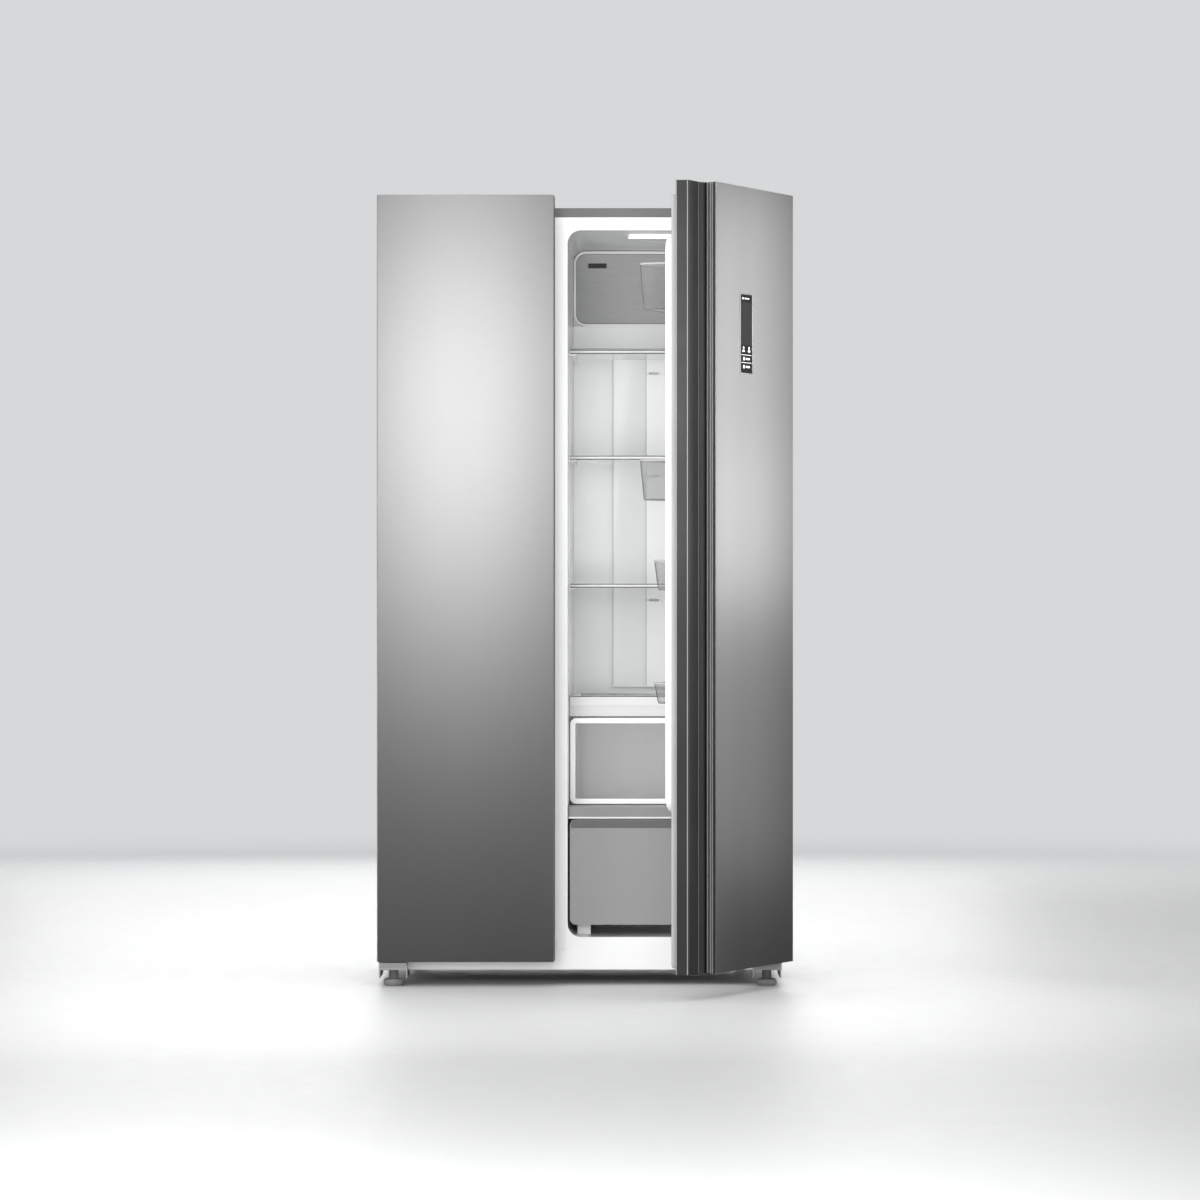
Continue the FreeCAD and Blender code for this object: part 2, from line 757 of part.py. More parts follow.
def bin_box(x, depth, z):
    """A clear door bin with its inside cut out."""
    y = (door_back_y + seat_gap, door_back_y + seat_gap + depth)
    outer = upright_block(x, y, z, bin_corner)
    inner = upright_block(
        (x[0] + bin_wall, x[1] - bin_wall),
        (y[0] + bin_wall, y[1] - bin_wall),
        (z[0] + bin_wall, z[1] + 1),
        bin_corner - bin_wall,
    )
    return outer.cut(inner)


def door(free_x, panel_x):
    """Every piece of one door, closed."""
    height = (door_bottom, door_top)
    outline = door_outline(free_x, panel_x)
    body = prism(outline, height)
    trim_front = door_front_y + undercut_deep[1]
    face_side = box((panel_x - 1, half_width + 1), (door_front_y - 1, trim_front), height)
    depth = (door_front_y - 1, door_back_y + 1)
    rear_layer = (door_back_y - door_liner_sheet, door_back_y + 1)
    hinge_side = box((half_width - hinge_boss_width, half_width + 1), depth, height)
    panel_zone = join([face_side, hinge_side])
    panel = body.cut(shrunk(outline, panel_sheet, height)).common(panel_zone)
    rear_skin = box((free_x - 1, half_width + 1), rear_layer, height)
    panel = panel.cut(box((free_x - 1, half_width - panel_sheet), rear_layer, height))
    trim_zone = box(
        (free_x - 1, panel_x + undercut_deep[0] + 10), (trim_front, door_back_y + 1), height
    )
    trim = body.cut(shrunk(outline, grip_trim_wall, height)).common(trim_zone)
    trim = trim.cut(box((free_x + grip_trim_wall, half_width), rear_layer, height))
    core = body.cut(panel).cut(trim).cut(rear_skin)

    boss_x = (half_width - hinge_boss_width - 1, half_width)
    boss_y = (pin_y - hinge_pin_setback + 8, door_back_y - door_liner_sheet)
    pocket_floor = cabinet_top - 1.0
    pocket = box(
        (half_width - hinge_pocket_width, half_width + 1),
        (door_front_y + hinge_pocket_front, door_back_y + 1),
        (pocket_floor, door_top + 1),
    )
    cap_x = (free_x - 1, half_width)
    cap_y = (door_front_y, door_back_y)
    top_plate = box(cap_x, cap_y, (door_top - end_cap_plate, door_top))
    top_boss = box(boss_x, boss_y, (pocket_floor - hinge_boss_depth, door_top))
    bottom_plate = box(cap_x, cap_y, (door_bottom, door_bottom + end_cap_plate))
    bottom_boss = box(boss_x, boss_y, (door_bottom, door_bottom + hinge_boss_depth))
    top_zone = join([top_plate, top_boss])
    bottom_zone = join([bottom_plate, bottom_boss])
    bore_radius = hinge_pin_radius + pin_clearance
    top_bore_start = point(pin_x, pin_y, pocket_floor - hinge_boss_depth + 4)
    top_bore = cylinder(top_bore_start, bore_radius, hinge_boss_depth)
    bottom_bore = cylinder(point(pin_x, pin_y, door_bottom - 1), bore_radius, hinge_boss_depth - 3)
    top_cap = cut(core.common(top_zone), [pocket, top_bore])
    bottom_cap = core.common(bottom_zone).cut(bottom_bore)
    filling = core.cut(top_zone).cut(bottom_zone)
    panel = panel.cut(pocket)

    # Inner lining with a hollow raised dyke
    sheet = body.common(rear_skin).cut(panel).cut(trim).cut(pocket)
    dyke_x = (free_x + dyke_free_inset, half_width - dyke_hinge_inset)
    dyke_z = (dyke_bottom, door_top - dyke_top_drop)
    dyke_y = (door_back_y, door_back_y + dyke_height)
    ridge = tapered_block(dyke_x, dyke_y, dyke_z, dyke_corner, dyke_taper)
    well_x = (dyke_x[0] + dyke_wall, dyke_x[1] - dyke_wall)
    well_z = (dyke_z[0] + dyke_wall, dyke_z[1] - dyke_wall)
    well = tapered_block(
        (well_x[0] - dyke_taper, well_x[1] + dyke_taper),
        (dyke_y[1], dyke_y[0]),
        (well_z[0] - dyke_taper, well_z[1] + dyke_taper),
        dyke_corner - dyke_wall + dyke_taper,
        dyke_taper,
    )
    hollow_y = (door_back_y - door_liner_sheet, dyke_y[1] - door_liner_sheet)
    hollow = tapered_block(
        (dyke_x[0] + door_liner_sheet, dyke_x[1] - door_liner_sheet),
        hollow_y,
        (dyke_z[0] + door_liner_sheet, dyke_z[1] - door_liner_sheet),
        dyke_corner - door_liner_sheet,
        dyke_taper,
    )
    hollow_core = rounded_block(
        (well_x[0] - dyke_taper - door_liner_sheet, well_x[1] + dyke_taper + door_liner_sheet),
        (hollow_y[0] - 1, dyke_y[1] + 1),
        (well_z[0] - dyke_taper - door_liner_sheet, well_z[1] + dyke_taper + door_liner_sheet),
        dyke_corner - dyke_wall + dyke_taper + door_liner_sheet,
    )
    dyke_foam = hollow.cut(hollow_core)
    lining = join([sheet, ridge.cut(well)]).cut(dyke_foam)

    gasket_x = (free_x + gasket_free_inset, half_width - gasket_hinge_inset)
    gasket_z = (door_bottom + gasket_bottom_inset, door_top - gasket_top_inset)
    gasket = box(gasket_x, (door_back_y, gasket_back_y), gasket_z).cut(
        box(
            (gasket_x[0] + gasket_width, gasket_x[1] - gasket_width),
            (door_back_y - 1, front_y),
            (gasket_z[0] + gasket_width, gasket_z[1] - gasket_width),
        )
    )
    pieces = {
        "panel": panel,
        "grip_trim": trim,
        "end_caps": [top_cap, bottom_cap],
        "lining": lining,
        "gasket": gasket,
    }
    bin_x = (well_x[0] + bin_side_gap, well_x[1] - bin_side_gap)
    span = dyke_z[1] - dyke_z[0]
    pieces["bins"] = [
        bin_box(bin_x, deep, (dyke_z[0] + share * span, dyke_z[0] + share * span + tall))
        for share, tall, deep in zip(bin_shares, bin_heights, bin_depths)
    ]
    pieces["foam"] = join([filling, dyke_foam])
    return pieces


def open_larder_door(shape):
    """Turns a piece of the larder door about its pin to where the door stands open."""
    shape.rotate(point(pin_x, pin_y, 0), UP, larder_door_angle)
    return shape


def moved(piece, place):
    """One solid or a group of solids, each moved by place()."""
    if isinstance(piece, list):
        return [place(solid) for solid in piece]
    return place(piece)


larder_free_x = door_split_x + door_gap / 2
larder_panel_x = larder_free_x + grip_channel_width
larder_pieces = door(larder_free_x, larder_panel_x)

# Touch display let into the face of the larder door
window_x = (
    larder_panel_x + display_edge_distance,
    larder_panel_x + display_edge_distance + display_width,
)
window_z = (door_top - display_top_drop - display_height, door_top - display_top_drop)
face_y = door_front_y
glass_y = (face_y - display_proud, face_y - display_proud + display_glass_thickness)
window = box(window_x, (face_y - 1, face_y + 3), window_z)
bezel_in_x = (window_x[0] + display_bezel_width, window_x[1] - display_bezel_width)
bezel_in_z = (window_z[0] + display_bezel_width, window_z[1] - display_bezel_width)
display_glass = box(bezel_in_x, glass_y, bezel_in_z)
display_bezel = box(window_x, glass_y, window_z).cut(display_glass)
housing_x = (window_x[0] - 4, window_x[1] + 4)
housing_z = (window_z[0] - 4, window_z[1] + 4)
housing_y = (face_y + panel_sheet, face_y + 17)
housing_block = box(housing_x, housing_y, housing_z)
housing_room = box(
    (window_x[0] + 1, window_x[1] - 1),
    (face_y - 1, housing_y[1] - 2),
    (window_z[0] + 1, window_z[1] - 1),
)
display_board_y = (glass_y[1] + 4, glass_y[1] + 4 + board_sheet)
display_board = box(
    (window_x[0] + 4, window_x[1] - 4),
    display_board_y,
    (window_z[0] + 5, window_z[1] - 5),
)
board_post_length = housing_y[1] - 2 - display_board_y[1]
board_posts = [
    cylinder(point(x, display_board_y[1], z), 2.5, board_post_length, ALONG_Y)
    for x in (window_x[0] + 10, window_x[1] - 10)
    for z in (window_z[0] + 12, window_z[1] - 12)
]
display_case = cut(housing_block, [housing_room, display_bezel, display_glass])
larder_pieces["panel"] = larder_pieces["panel"].cut(window)
larder_pieces["foam"] = larder_pieces["foam"].cut(housing_block)
for name, piece in larder_pieces.items():
    save("larder_door_" + name, moved(piece, open_larder_door))
save("display_glass", open_larder_door(display_glass))
display_module = [display_bezel, join([display_case] + board_posts), display_board]
save("display_module", moved(display_module, open_larder_door))

freezer_free_x = -(door_split_x - door_gap / 2)
for name, piece in door(freezer_free_x, freezer_free_x).items():
    save("freezer_door_" + name, moved(piece, mirror))

# Hinges ----------------------------------------------------------------------------------------
plate_z = (cabinet_top, cabinet_top + hinge_plate)
plate_back_y = front_y + 80
hinge_eye = cylinder(point(pin_x, pin_y, plate_z[0]), hinge_eye_radius, hinge_plate)
hinge_arm_x = (pin_x - hinge_arm_half_width, pin_x + hinge_arm_half_width)
hinge_arm = box(hinge_arm_x, (pin_y, front_y + 10), plate_z)
hinge_pad = box((half_width - 55, half_width - 6), (front_y + 2, plate_back_y), plate_z)
pin_hole = cylinder(point(pin_x, pin_y, plate_z[0] - 1), hinge_pin_radius, hinge_plate + 2)
plate_holes = [
    cylinder(point(x, y, plate_z[0] - 1), screw_radius, hinge_plate + 2)
    for x, y in shell_screw_places()
    if x > 0
]
top_hinge = cut(join([hinge_eye, hinge_arm, hinge_pad]), [pin_hole] + plate_holes)
save("top_hinge_plates", [top_hinge, mirror(top_hinge)])
top_pin_bottom = cabinet_top - hinge_boss_depth + 5
top_pin_length = plate_z[1] - top_pin_bottom
top_pin = cylinder(point(pin_x, pin_y, top_pin_bottom), hinge_pin_radius, top_pin_length)
hinge_screws = [
    screw(x, y, plate_z[1], screw_head_radius, screw_grip + hinge_plate)
    for x, y in shell_screw_places()
]
save("hinge_screws", hinge_screws)
cover_side_x = (half_width - hinge_cover_width - 1, half_width - 1)
cover_side_y = (front_y + 1, plate_back_y + hinge_cover_sheet + 5)
cover_roof = door_top - hinge_cover_drop
cover_outer = box(cover_side_x, cover_side_y, (cabinet_top, cover_roof))
cover_edges = [
    e for e in cover_outer.Edges if e.BoundBox.ZMin > cabinet_top + 1 or e.BoundBox.ZLength > 10
]
cover_outer = cover_outer.makeFillet(5.0, cover_edges)
cover_inner_x = (cover_side_x[0] + hinge_cover_sheet, cover_side_x[1] - hinge_cover_sheet)
cover_inner = box(
    cover_inner_x,
    (front_y - 1, cover_side_y[1] - hinge_cover_sheet),
    (cabinet_top - 1, cover_roof - hinge_cover_sheet),
)
cover_mouth = box(
    (cover_inner_x[0], half_width - 1),
    (front_y, front_y + 5),
    (cabinet_top - 1, plate_z[1] + 2),
)
hinge_cover = cut(cover_outer, [cover_inner, cover_mouth])
board_lid = upright_block(
    (board_box_x[0] - 10, board_box_x[1] + 10),
    (board_box_y[0] - 10, board_box_y[1] + 10),
    (cabinet_top, cabinet_top + 2),
    8.0,
)
save("top_covers", [hinge_cover, mirror(hinge_cover), board_lid])

# Lower hinge brackets, which also carry the front feet
lower_plate_top = door_bottom - washer_thickness - running_gap
lower_plate_z = (lower_plate_top - lower_hinge_plate, lower_plate_top)
bracket_x = (half_width - bracket_inset - bracket_width, half_width - bracket_inset)
bracket_front = front_y - bracket_reach
foot_x = sum(bracket_x) / 2
foot_y = front_y - foot_setback
lower_plate = upright_block(bracket_x, (bracket_front, front_y), lower_plate_z, 4.0)
leg_z = (foot_pad_height + 2, lower_plate_z[0])
legs = []
for leg_x in (bracket_x[0], bracket_x[1] - bracket_sheet):
    legs.append(box((leg_x, leg_x + bracket_sheet), (bracket_front + 4, front_y), leg_z))
    legs.append(box((leg_x, leg_x + bracket_sheet), (front_y, front_y + 90), (leg_z[0], cabinet_bottom)))
flange_z = (cabinet_bottom - bracket_sheet, cabinet_bottom)
foot_flange = box(bracket_x, (front_y + 15, front_y + 90), flange_z)
cross_bar_y = (bracket_front + 4, bracket_front + 4 + bracket_sheet)
cross_bar = box(bracket_x, cross_bar_y, (leg_z[1] - 9, leg_z[1]))
stem_hole = cylinder(point(foot_x, foot_y, leg_z[0] - 5), foot_stem_radius + pin_clearance, 60)
lower_pin_hole = cylinder(point(pin_x, pin_y, lower_plate_z[0] - 1), hinge_pin_radius, 20)
bracket = cut(join([lower_plate, foot_flange, cross_bar] + legs), [stem_hole, lower_pin_hole])
save("lower_hinge_brackets", [bracket, mirror(bracket)])
lower_pin_top = door_bottom + hinge_boss_depth - 5
lower_pin = cylinder(
    point(pin_x, pin_y, lower_plate_z[0]), hinge_pin_radius, lower_pin_top - lower_plate_z[0]
)
washer = cylinder(point(pin_x, pin_y, lower_plate_z[1]), 8.5, washer_thickness).cut(lower_pin)
hinge_pins = [top_pin, lower_pin, washer]
save("hinge_pins", hinge_pins + [mirror(pin) for pin in hinge_pins])

# Levelling feet: a ribbed pad on a threaded stem
foot_pad = cylinder(point(foot_x, foot_y, 0), foot_pad_radius, foot_pad_height)
pad_edges = [e for e in foot_pad.Edges if e.Closed and e.BoundBox.ZMax < 1]
foot_pad = foot_pad.makeChamfer(4.0, pad_edges)
foot_top = lower_plate_z[1] + 1.0
foot_stem_length = foot_top - foot_pad_height
foot_stem = cylinder(point(foot_x, foot_y, foot_pad_height), foot_stem_radius, foot_stem_length)
foot = join([foot_pad, foot_stem])
save("levelling_foot_right", foot)
save("levelling_foot_left", mirror(foot))

# Rear rollers on axles between two ears
roller_x = half_width - roller_inset
roller_y = back_y - roller_rear_inset
roller_centre = point(roller_x - roller_width / 2, roller_y, roller_radius)
tyre = cylinder(roller_centre, roller_radius, roller_width, ALONG_X)
tyre = tyre.makeFillet(2.0, [e for e in tyre.Edges if e.Closed])
roller = tyre.cut(
    cylinder(roller_centre, axle_radius + pin_clearance, roller_width, ALONG_X)
)
save("rear_roller_right", roller)
save("rear_roller_left", mirror(roller))
ear_gap = roller_width / 2 + 1.5
ear_y = (roller_y - 12, roller_y + 12)
ears = [
    box((start_x, start_x + bracket_sheet), ear_y, (roller_radius - 8, cabinet_bottom))
    for start_x in (roller_x - ear_gap - bracket_sheet, roller_x + ear_gap)
]
yoke_plate = box((roller_x - ear_gap - 20, roller_x + ear_gap + 20), ear_y, flange_z)
roller_yoke = join(ears + [yoke_plate])
axle_reach = ear_gap + bracket_sheet + 2
axle_start = point(roller_x - axle_reach, roller_y, roller_radius)
axle = cylinder(axle_start, axle_radius, 2 * axle_reach, ALONG_X)
roller_yoke = roller_yoke.cut(axle)
save("roller_brackets", [roller_yoke, mirror(roller_yoke), axle, mirror(axle)])

# Machine room ----------------------------------------------------------------------------------
machine_mid_y = (machine_front_y + back_y) / 2
compressor_x = half_width - 175
compressor_floor = base_top + 18
compressor_base = point(compressor_x, machine_mid_y, compressor_floor)
compressor = cylinder(compressor_base, compressor_radius, compressor_height)
compressor = compressor.makeFillet(34.0, [e for e in compressor.Edges if e.Closed])
terminal_box = box(
    (compressor_x + compressor_radius - 8, compressor_x + compressor_radius + 26),
    (machine_mid_y - 24, machine_mid_y + 24),
    (compressor_floor + 45, compressor_floor + 100),
)
foot_plate = box(
    (compressor_x - 85, compressor_x + 85),
    (machine_mid_y - 50, machine_mid_y + 50),
    (compressor_floor, compressor_floor + 3),
)
compressor_mounts = [
    cylinder(point(compressor_x + dx, machine_mid_y + dy, base_top), 9, compressor_floor - base_top)
    for dx in (-74, 74)
    for dy in (-38, 38)
]
compressor_shell = join([compressor, foot_plate])
save("compressor", [compressor_shell, terminal_box.cut(compressor_shell)] + compressor_mounts)

condenser_x = (-half_width + 110, -half_width + 300)
condenser_y = (machine_front_y + 25, back_y - 35)
tray_z = (base_top, base_top + 30)
tray_x = (condenser_x[0] - 20, condenser_x[1] + 20)
tray_y = (condenser_y[0] - 12, condenser_y[1] + 12)
tray_room = box(
    (tray_x[0] + tray_wall, tray_x[1] - tray_wall),
    (tray_y[0] + tray_wall, tray_y[1] - tray_wall),
    (tray_z[0] + tray_wall, tray_z[1] + 1),
)
save("drain_tray", box(tray_x, tray_y, tray_z).cut(tray_room))
condenser_rows = 5
condenser_levels = [tray_z[1] + 18 + coil_pitch * row for row in range(condenser_rows)]
row_y = (condenser_y[0] + 20, condenser_y[1] - 20)
row_length = condenser_x[1] - condenser_x[0]
serpentine = []
for level, z in enumerate(condenser_levels):
    for y in row_y:
        serpentine.append(cylinder(point(condenser_x[0], y, z), pipe_radius, row_length, ALONG_X))
    end = condenser_x[level % 2]
    end_run = cylinder(point(end, row_y[0], z), pipe_radius, row_y[1] - row_y[0], ALONG_Y)
    serpentine.append(end_run)
    if level:
        below = point(end, row_y[level % 2], condenser_levels[level - 1])
        serpentine.append(cylinder(below, pipe_radius, coil_pitch))
wire_count = 18
for i in range(wire_count):
    wire_x = condenser_x[0] + 10 + i * (row_length - 20) / (wire_count - 1)
    wire_z = (tray_z[1] + 6, condenser_levels[-1] + 10)
    wire_y = (condenser_y[0] + 8, condenser_y[1] - 8)
    serpentine.append(box((wire_x, wire_x + 1), wire_y, wire_z))
legs_z = (tray_z[0] + tray_wall, tray_z[1] + 8)
for x in condenser_x:
    for y in row_y:
        leg_length = condenser_levels[0] - legs_z[0]
        serpentine.append(cylinder(point(x, y, legs_z[0]), pipe_radius, leg_length))
save("condenser_coil", join(serpentine))

machine_fan_x = 10.0
machine_fan_z = base_top + 95
fan_hub = point(machine_fan_x, machine_mid_y, machine_fan_z)
save("condenser_fan", fan_rotor(fan_hub, ALONG_X, machine_fan_radius, 16, 18, 5))
machine_motor = cylinder(point(machine_fan_x + 14, machine_mid_y, machine_fan_z), 24, 30, ALONG_X)
machine_shaft = cylinder(point(machine_fan_x - 14, machine_mid_y, machine_fan_z), axle_radius, 30, ALONG_X)
machine_motor = join([machine_motor, machine_shaft])
wall_x = (machine_fan_x - 12, machine_fan_x + 12)
fan_wall = box(wall_x, (machine_front_y + shell_sheet, rear_sheet_y[0]), (base_top, machine_fan_z + 80))
fan_wall = fan_wall.cut(
    cylinder(point(wall_x[0] - 1, machine_mid_y, machine_fan_z), machine_fan_radius + 5, 30, ALONG_X)
)
motor_bar = box(
    (machine_fan_x + 30, machine_fan_x + 34),
    (machine_mid_y - 80, machine_mid_y + 80),
    (machine_fan_z - 8, machine_fan_z + 8),
)
bar_posts = [
    box(
        (wall_x[1] - 1, machine_fan_x + 34),
        (machine_mid_y + side * 76 - 4, machine_mid_y + side * 76 + 4),
        (machine_fan_z - 8, machine_fan_z + 8),
    )
    for side in (-1, 1)
]
fan_frame = join([fan_wall, motor_bar] + bar_posts).cut(machine_motor)
save("condenser_fan_motor", [machine_motor, fan_frame])

discharge_top = compressor_floor + compressor_height + 35
discharge = pipe(
    [
        point(compressor_x - 20, machine_mid_y, compressor_floor + compressor_height),
        point(compressor_x - 20, machine_mid_y, discharge_top),
        point(compressor_x - 20, rear_sheet_y[0] - 16, discharge_top),
        point(condenser_x[1] + 30, rear_sheet_y[0] - 16, discharge_top),
        point(condenser_x[1] + 30, condenser_y[1] - 20, discharge_top),
        point(condenser_x[1] + 30, condenser_y[1] - 20, condenser_levels[-1]),
        point(condenser_x[1] + pipe_radius, condenser_y[1] - 20, condenser_levels[-1]),
    ],
    pipe_radius,
)
suction = pipe(
    [
        point(compressor_x + 20, machine_mid_y, compressor_floor + compressor_height),
        point(compressor_x + 20, machine_mid_y, discharge_top + 16),
        point(compressor_x + 20, machine_front_y + 12, discharge_top + 16),
        point(compressor_x - 110, machine_front_y + 12, discharge_top + 16),
        point(compressor_x - 110, machine_front_y + 12, machine_room_top - shell_sheet),
    ],
    pipe_radius,
)
dryer_x = condenser_x[1] + 60
dryer = cylinder(point(dryer_x, machine_front_y + 40, base_top + 40), 11, 110)
dryer = dryer.makeFillet(6.0, [e for e in dryer.Edges if e.Closed])
dryer_clip = box(
    (dryer_x - 6, dryer_x + 6),
    (machine_front_y + shell_sheet, machine_front_y + 40),
    (base_top + 85, base_top + 95),
)
save("refrigerant_pipes", [discharge, suction, join([dryer, dryer_clip])])

# Vented rear cover of the machine room, with the mains lead's gland
cover_z = (base_top, machine_room_top)
vent_length = 70.0
vent_height = 6.0
vent_pitch = 90.0
vent_start = 60.0
vent_x = [vent_start + column * vent_pitch for column in range(4)]
vent_z = [base_top + 60 + 18 * row for row in range(6)]
vents = [
    box((x, x + vent_length), (rear_sheet_y[0] - 1, back_y + 1), (z, z + vent_height))
    for x in vent_x + [-x - vent_length for x in vent_x]
    for z in vent_z
]
gland_x = -half_width + 50
gland_z = base_top + 30
gland_hole = cylinder(point(gland_x, rear_sheet_y[0] - 1, gland_z), gland_radius, 3, ALONG_Y)
machine_cover = box(inner_x, rear_sheet_y, cover_z)
save("machine_room_cover", cut(machine_cover, vents + [gland_hole]))
gland = join(
    [
        cylinder(point(gland_x, rear_sheet_y[0] - 9, gland_z), gland_radius, 10, ALONG_Y),
        cylinder(point(gland_x, back_y, gland_z), gland_flange_radius, 4, ALONG_Y),
    ]
)
gland = gland.cut(cylinder(point(gland_x, back_y - 4, gland_z), gland_bore_radius, 10, ALONG_Y))
save("mains_gland", gland)

# Control board in the recess of the cabinet top, under its lid
board_leg = 8.0
board_top = board_box_bottom + board_leg + board_sheet
board = box(
    (board_box_x[0] + 12, board_box_x[1] - 12),
    (board_box_y[0] + 12, board_box_y[1] - 12),
    (board_top - board_sheet, board_top),
)
board_items = [
    box((x, x + w), (y, y + d), (board_top, board_top + h))
    for x, y, w, d, h in (
        (-90.0, back_y - 195, 40.0, 32.0, 16.0),
        (-30.0, back_y - 190, 18.0, 18.0, 14.0),
        (10.0, back_y - 200, 50.0, 26.0, 8.0),
        (-80.0, back_y - 120, 90.0, 12.0, 10.0),
        (40.0, back_y - 140, 30.0, 30.0, 12.0),
    )
]
board_legs = [
    cylinder(point(x, y, board_box_bottom), 3, board_leg)
    for x in (board_box_x[0] + 20, board_box_x[1] - 20)
    for y in (board_box_y[0] + 20, board_box_y[1] - 20)
]
save("control_board", join([board] + board_items + board_legs))
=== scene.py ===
import json
import math

import bmesh
import bpy
from mathutils import Matrix, Vector


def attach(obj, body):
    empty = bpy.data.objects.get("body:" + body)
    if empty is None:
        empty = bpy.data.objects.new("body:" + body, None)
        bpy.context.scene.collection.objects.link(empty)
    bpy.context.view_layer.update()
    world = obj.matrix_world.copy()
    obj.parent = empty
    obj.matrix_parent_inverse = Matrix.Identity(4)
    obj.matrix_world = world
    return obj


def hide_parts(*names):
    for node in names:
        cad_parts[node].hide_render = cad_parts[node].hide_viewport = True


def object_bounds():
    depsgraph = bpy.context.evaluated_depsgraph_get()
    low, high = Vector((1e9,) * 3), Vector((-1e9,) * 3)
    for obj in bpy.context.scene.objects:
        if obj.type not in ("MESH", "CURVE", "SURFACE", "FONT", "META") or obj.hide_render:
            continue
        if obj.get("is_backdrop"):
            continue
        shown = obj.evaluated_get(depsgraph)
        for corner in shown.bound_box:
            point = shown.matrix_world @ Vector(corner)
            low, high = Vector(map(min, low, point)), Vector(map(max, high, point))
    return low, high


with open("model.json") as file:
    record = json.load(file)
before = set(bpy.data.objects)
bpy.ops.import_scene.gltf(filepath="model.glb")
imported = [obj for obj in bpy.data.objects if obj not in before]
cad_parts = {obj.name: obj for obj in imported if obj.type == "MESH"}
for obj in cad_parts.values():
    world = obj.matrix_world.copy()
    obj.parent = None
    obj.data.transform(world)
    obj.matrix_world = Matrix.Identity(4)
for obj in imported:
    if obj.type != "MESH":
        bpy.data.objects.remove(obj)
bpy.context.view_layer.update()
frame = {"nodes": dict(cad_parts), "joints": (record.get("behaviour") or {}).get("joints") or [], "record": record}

MM = 0.001
UP, BACKWARD = (0, 0, 1), (0, 1, 0)
LEAST_RADIUS = 0.2 * MM
WELD = 0.01 * MM
BEVEL_FROM = math.radians(30)
FLAT_WITHIN = math.radians(0.6)
nodes = frame["nodes"]
record = frame["record"]
body_of = {n: b for b, ns in record["behaviour"]["bodies"].items() for n in ns}
slot_of = {s["node"]: s["material_slot"] for s in record["subparts"]}
joint = {j["name"]: j for j in frame["joints"]}

# ---- Shared shape tools ------------------------------------------------------------------------


def publish(name, bm, material, body, hides=(), bevel=0.0, segments=2, smooth=40.0):
    """Turns a bmesh into a finished piece that rides on a body."""
    mesh = bpy.data.meshes.new(name)
    bmesh.ops.remove_doubles(bm, verts=bm.verts, dist=WELD)
    bmesh.ops.recalc_face_normals(bm, faces=bm.faces)
    bm.to_mesh(mesh)
    bm.free()
    obj = bpy.data.objects.new(name, mesh)
    bpy.context.scene.collection.objects.link(obj)
    dress(obj, material, body, hides, bevel, segments, smooth)
    return obj


def dress(obj, material, body, hides, bevel, segments, smooth):
    mesh = obj.data
    mesh.materials.clear()
    mesh.materials.append(material)
    if bevel:
        mod = obj.modifiers.new("edges", "BEVEL")
        mod.width = bevel
        mod.segments = segments
        mod.limit_method = "ANGLE"
        mod.angle_limit = BEVEL_FROM
        mod.use_clamp_overlap = True
        mod.harden_normals = True
    mesh.polygons.foreach_set("use_smooth", [True] * len(mesh.polygons))
    mesh.set_sharp_from_angle(angle=math.radians(smooth))
    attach(obj, body)
    for node in hides:
        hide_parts(node)


def refined(node, material, bevel=0.0006, segments=2, smooth=35.0):
    """The CAD shape of a node with its flat faces cleaned and its edges eased."""
    bm = bmesh.new()
    bm.from_mesh(nodes[node].data)
    bmesh.ops.remove_doubles(bm, verts=bm.verts, dist=2 * WELD)
    bmesh.ops.dissolve_limit(
        bm,
        angle_limit=FLAT_WITHIN,
        verts=bm.verts,
        edges=bm.edges,
        use_dissolve_boundaries=False,
    )
    name, body, slot = node + "_shown", body_of[node], slot_of[node]
    return publish(name, bm, material, body, (node,), bevel, segments, smooth)


def paint(node, material):
    """Gives a CAD node that keeps its shape a better material."""
    mesh = nodes[node].data
    mesh.materials.clear()
    mesh.materials.append(material)


def add_loft(bm, loops, cap_start=True, cap_end=True, closed=False):
    """Skins loops that have the same number of points, each loop closed on itself."""
    rings = [[bm.verts.new(p) for p in loop] for loop in loops]
    pairs = list(zip(rings, rings[1:]))
    if closed:
        pairs.append((rings[-1], rings[0]))
    for a, b in pairs:
        for i in range(len(a)):
            j = (i + 1) % len(a)
            bm.faces.new((a[i], a[j], b[j], b[i]))
    if cap_start and not closed:
        bm.faces.new(list(reversed(rings[0])))
    if cap_end and not closed:
        bm.faces.new(rings[-1])


def rounded_plan(x, y, radius, steps=6):
    """A rounded rectangle in plan as a list of (x, y)."""
    points = []
    centres = (
        (x[1] - radius, y[0] + radius, -90),
        (x[1] - radius, y[1] - radius, 0),
        (x[0] + radius, y[1] - radius, 90),
        (x[0] + radius, y[0] + radius, 180),
    )
    for cx, cy, start in centres:
        for i in range(steps + 1):
            a = math.radians(start + 90.0 * i / steps)
            points.append((cx + radius * math.cos(a), cy + radius * math.sin(a)))
    return points


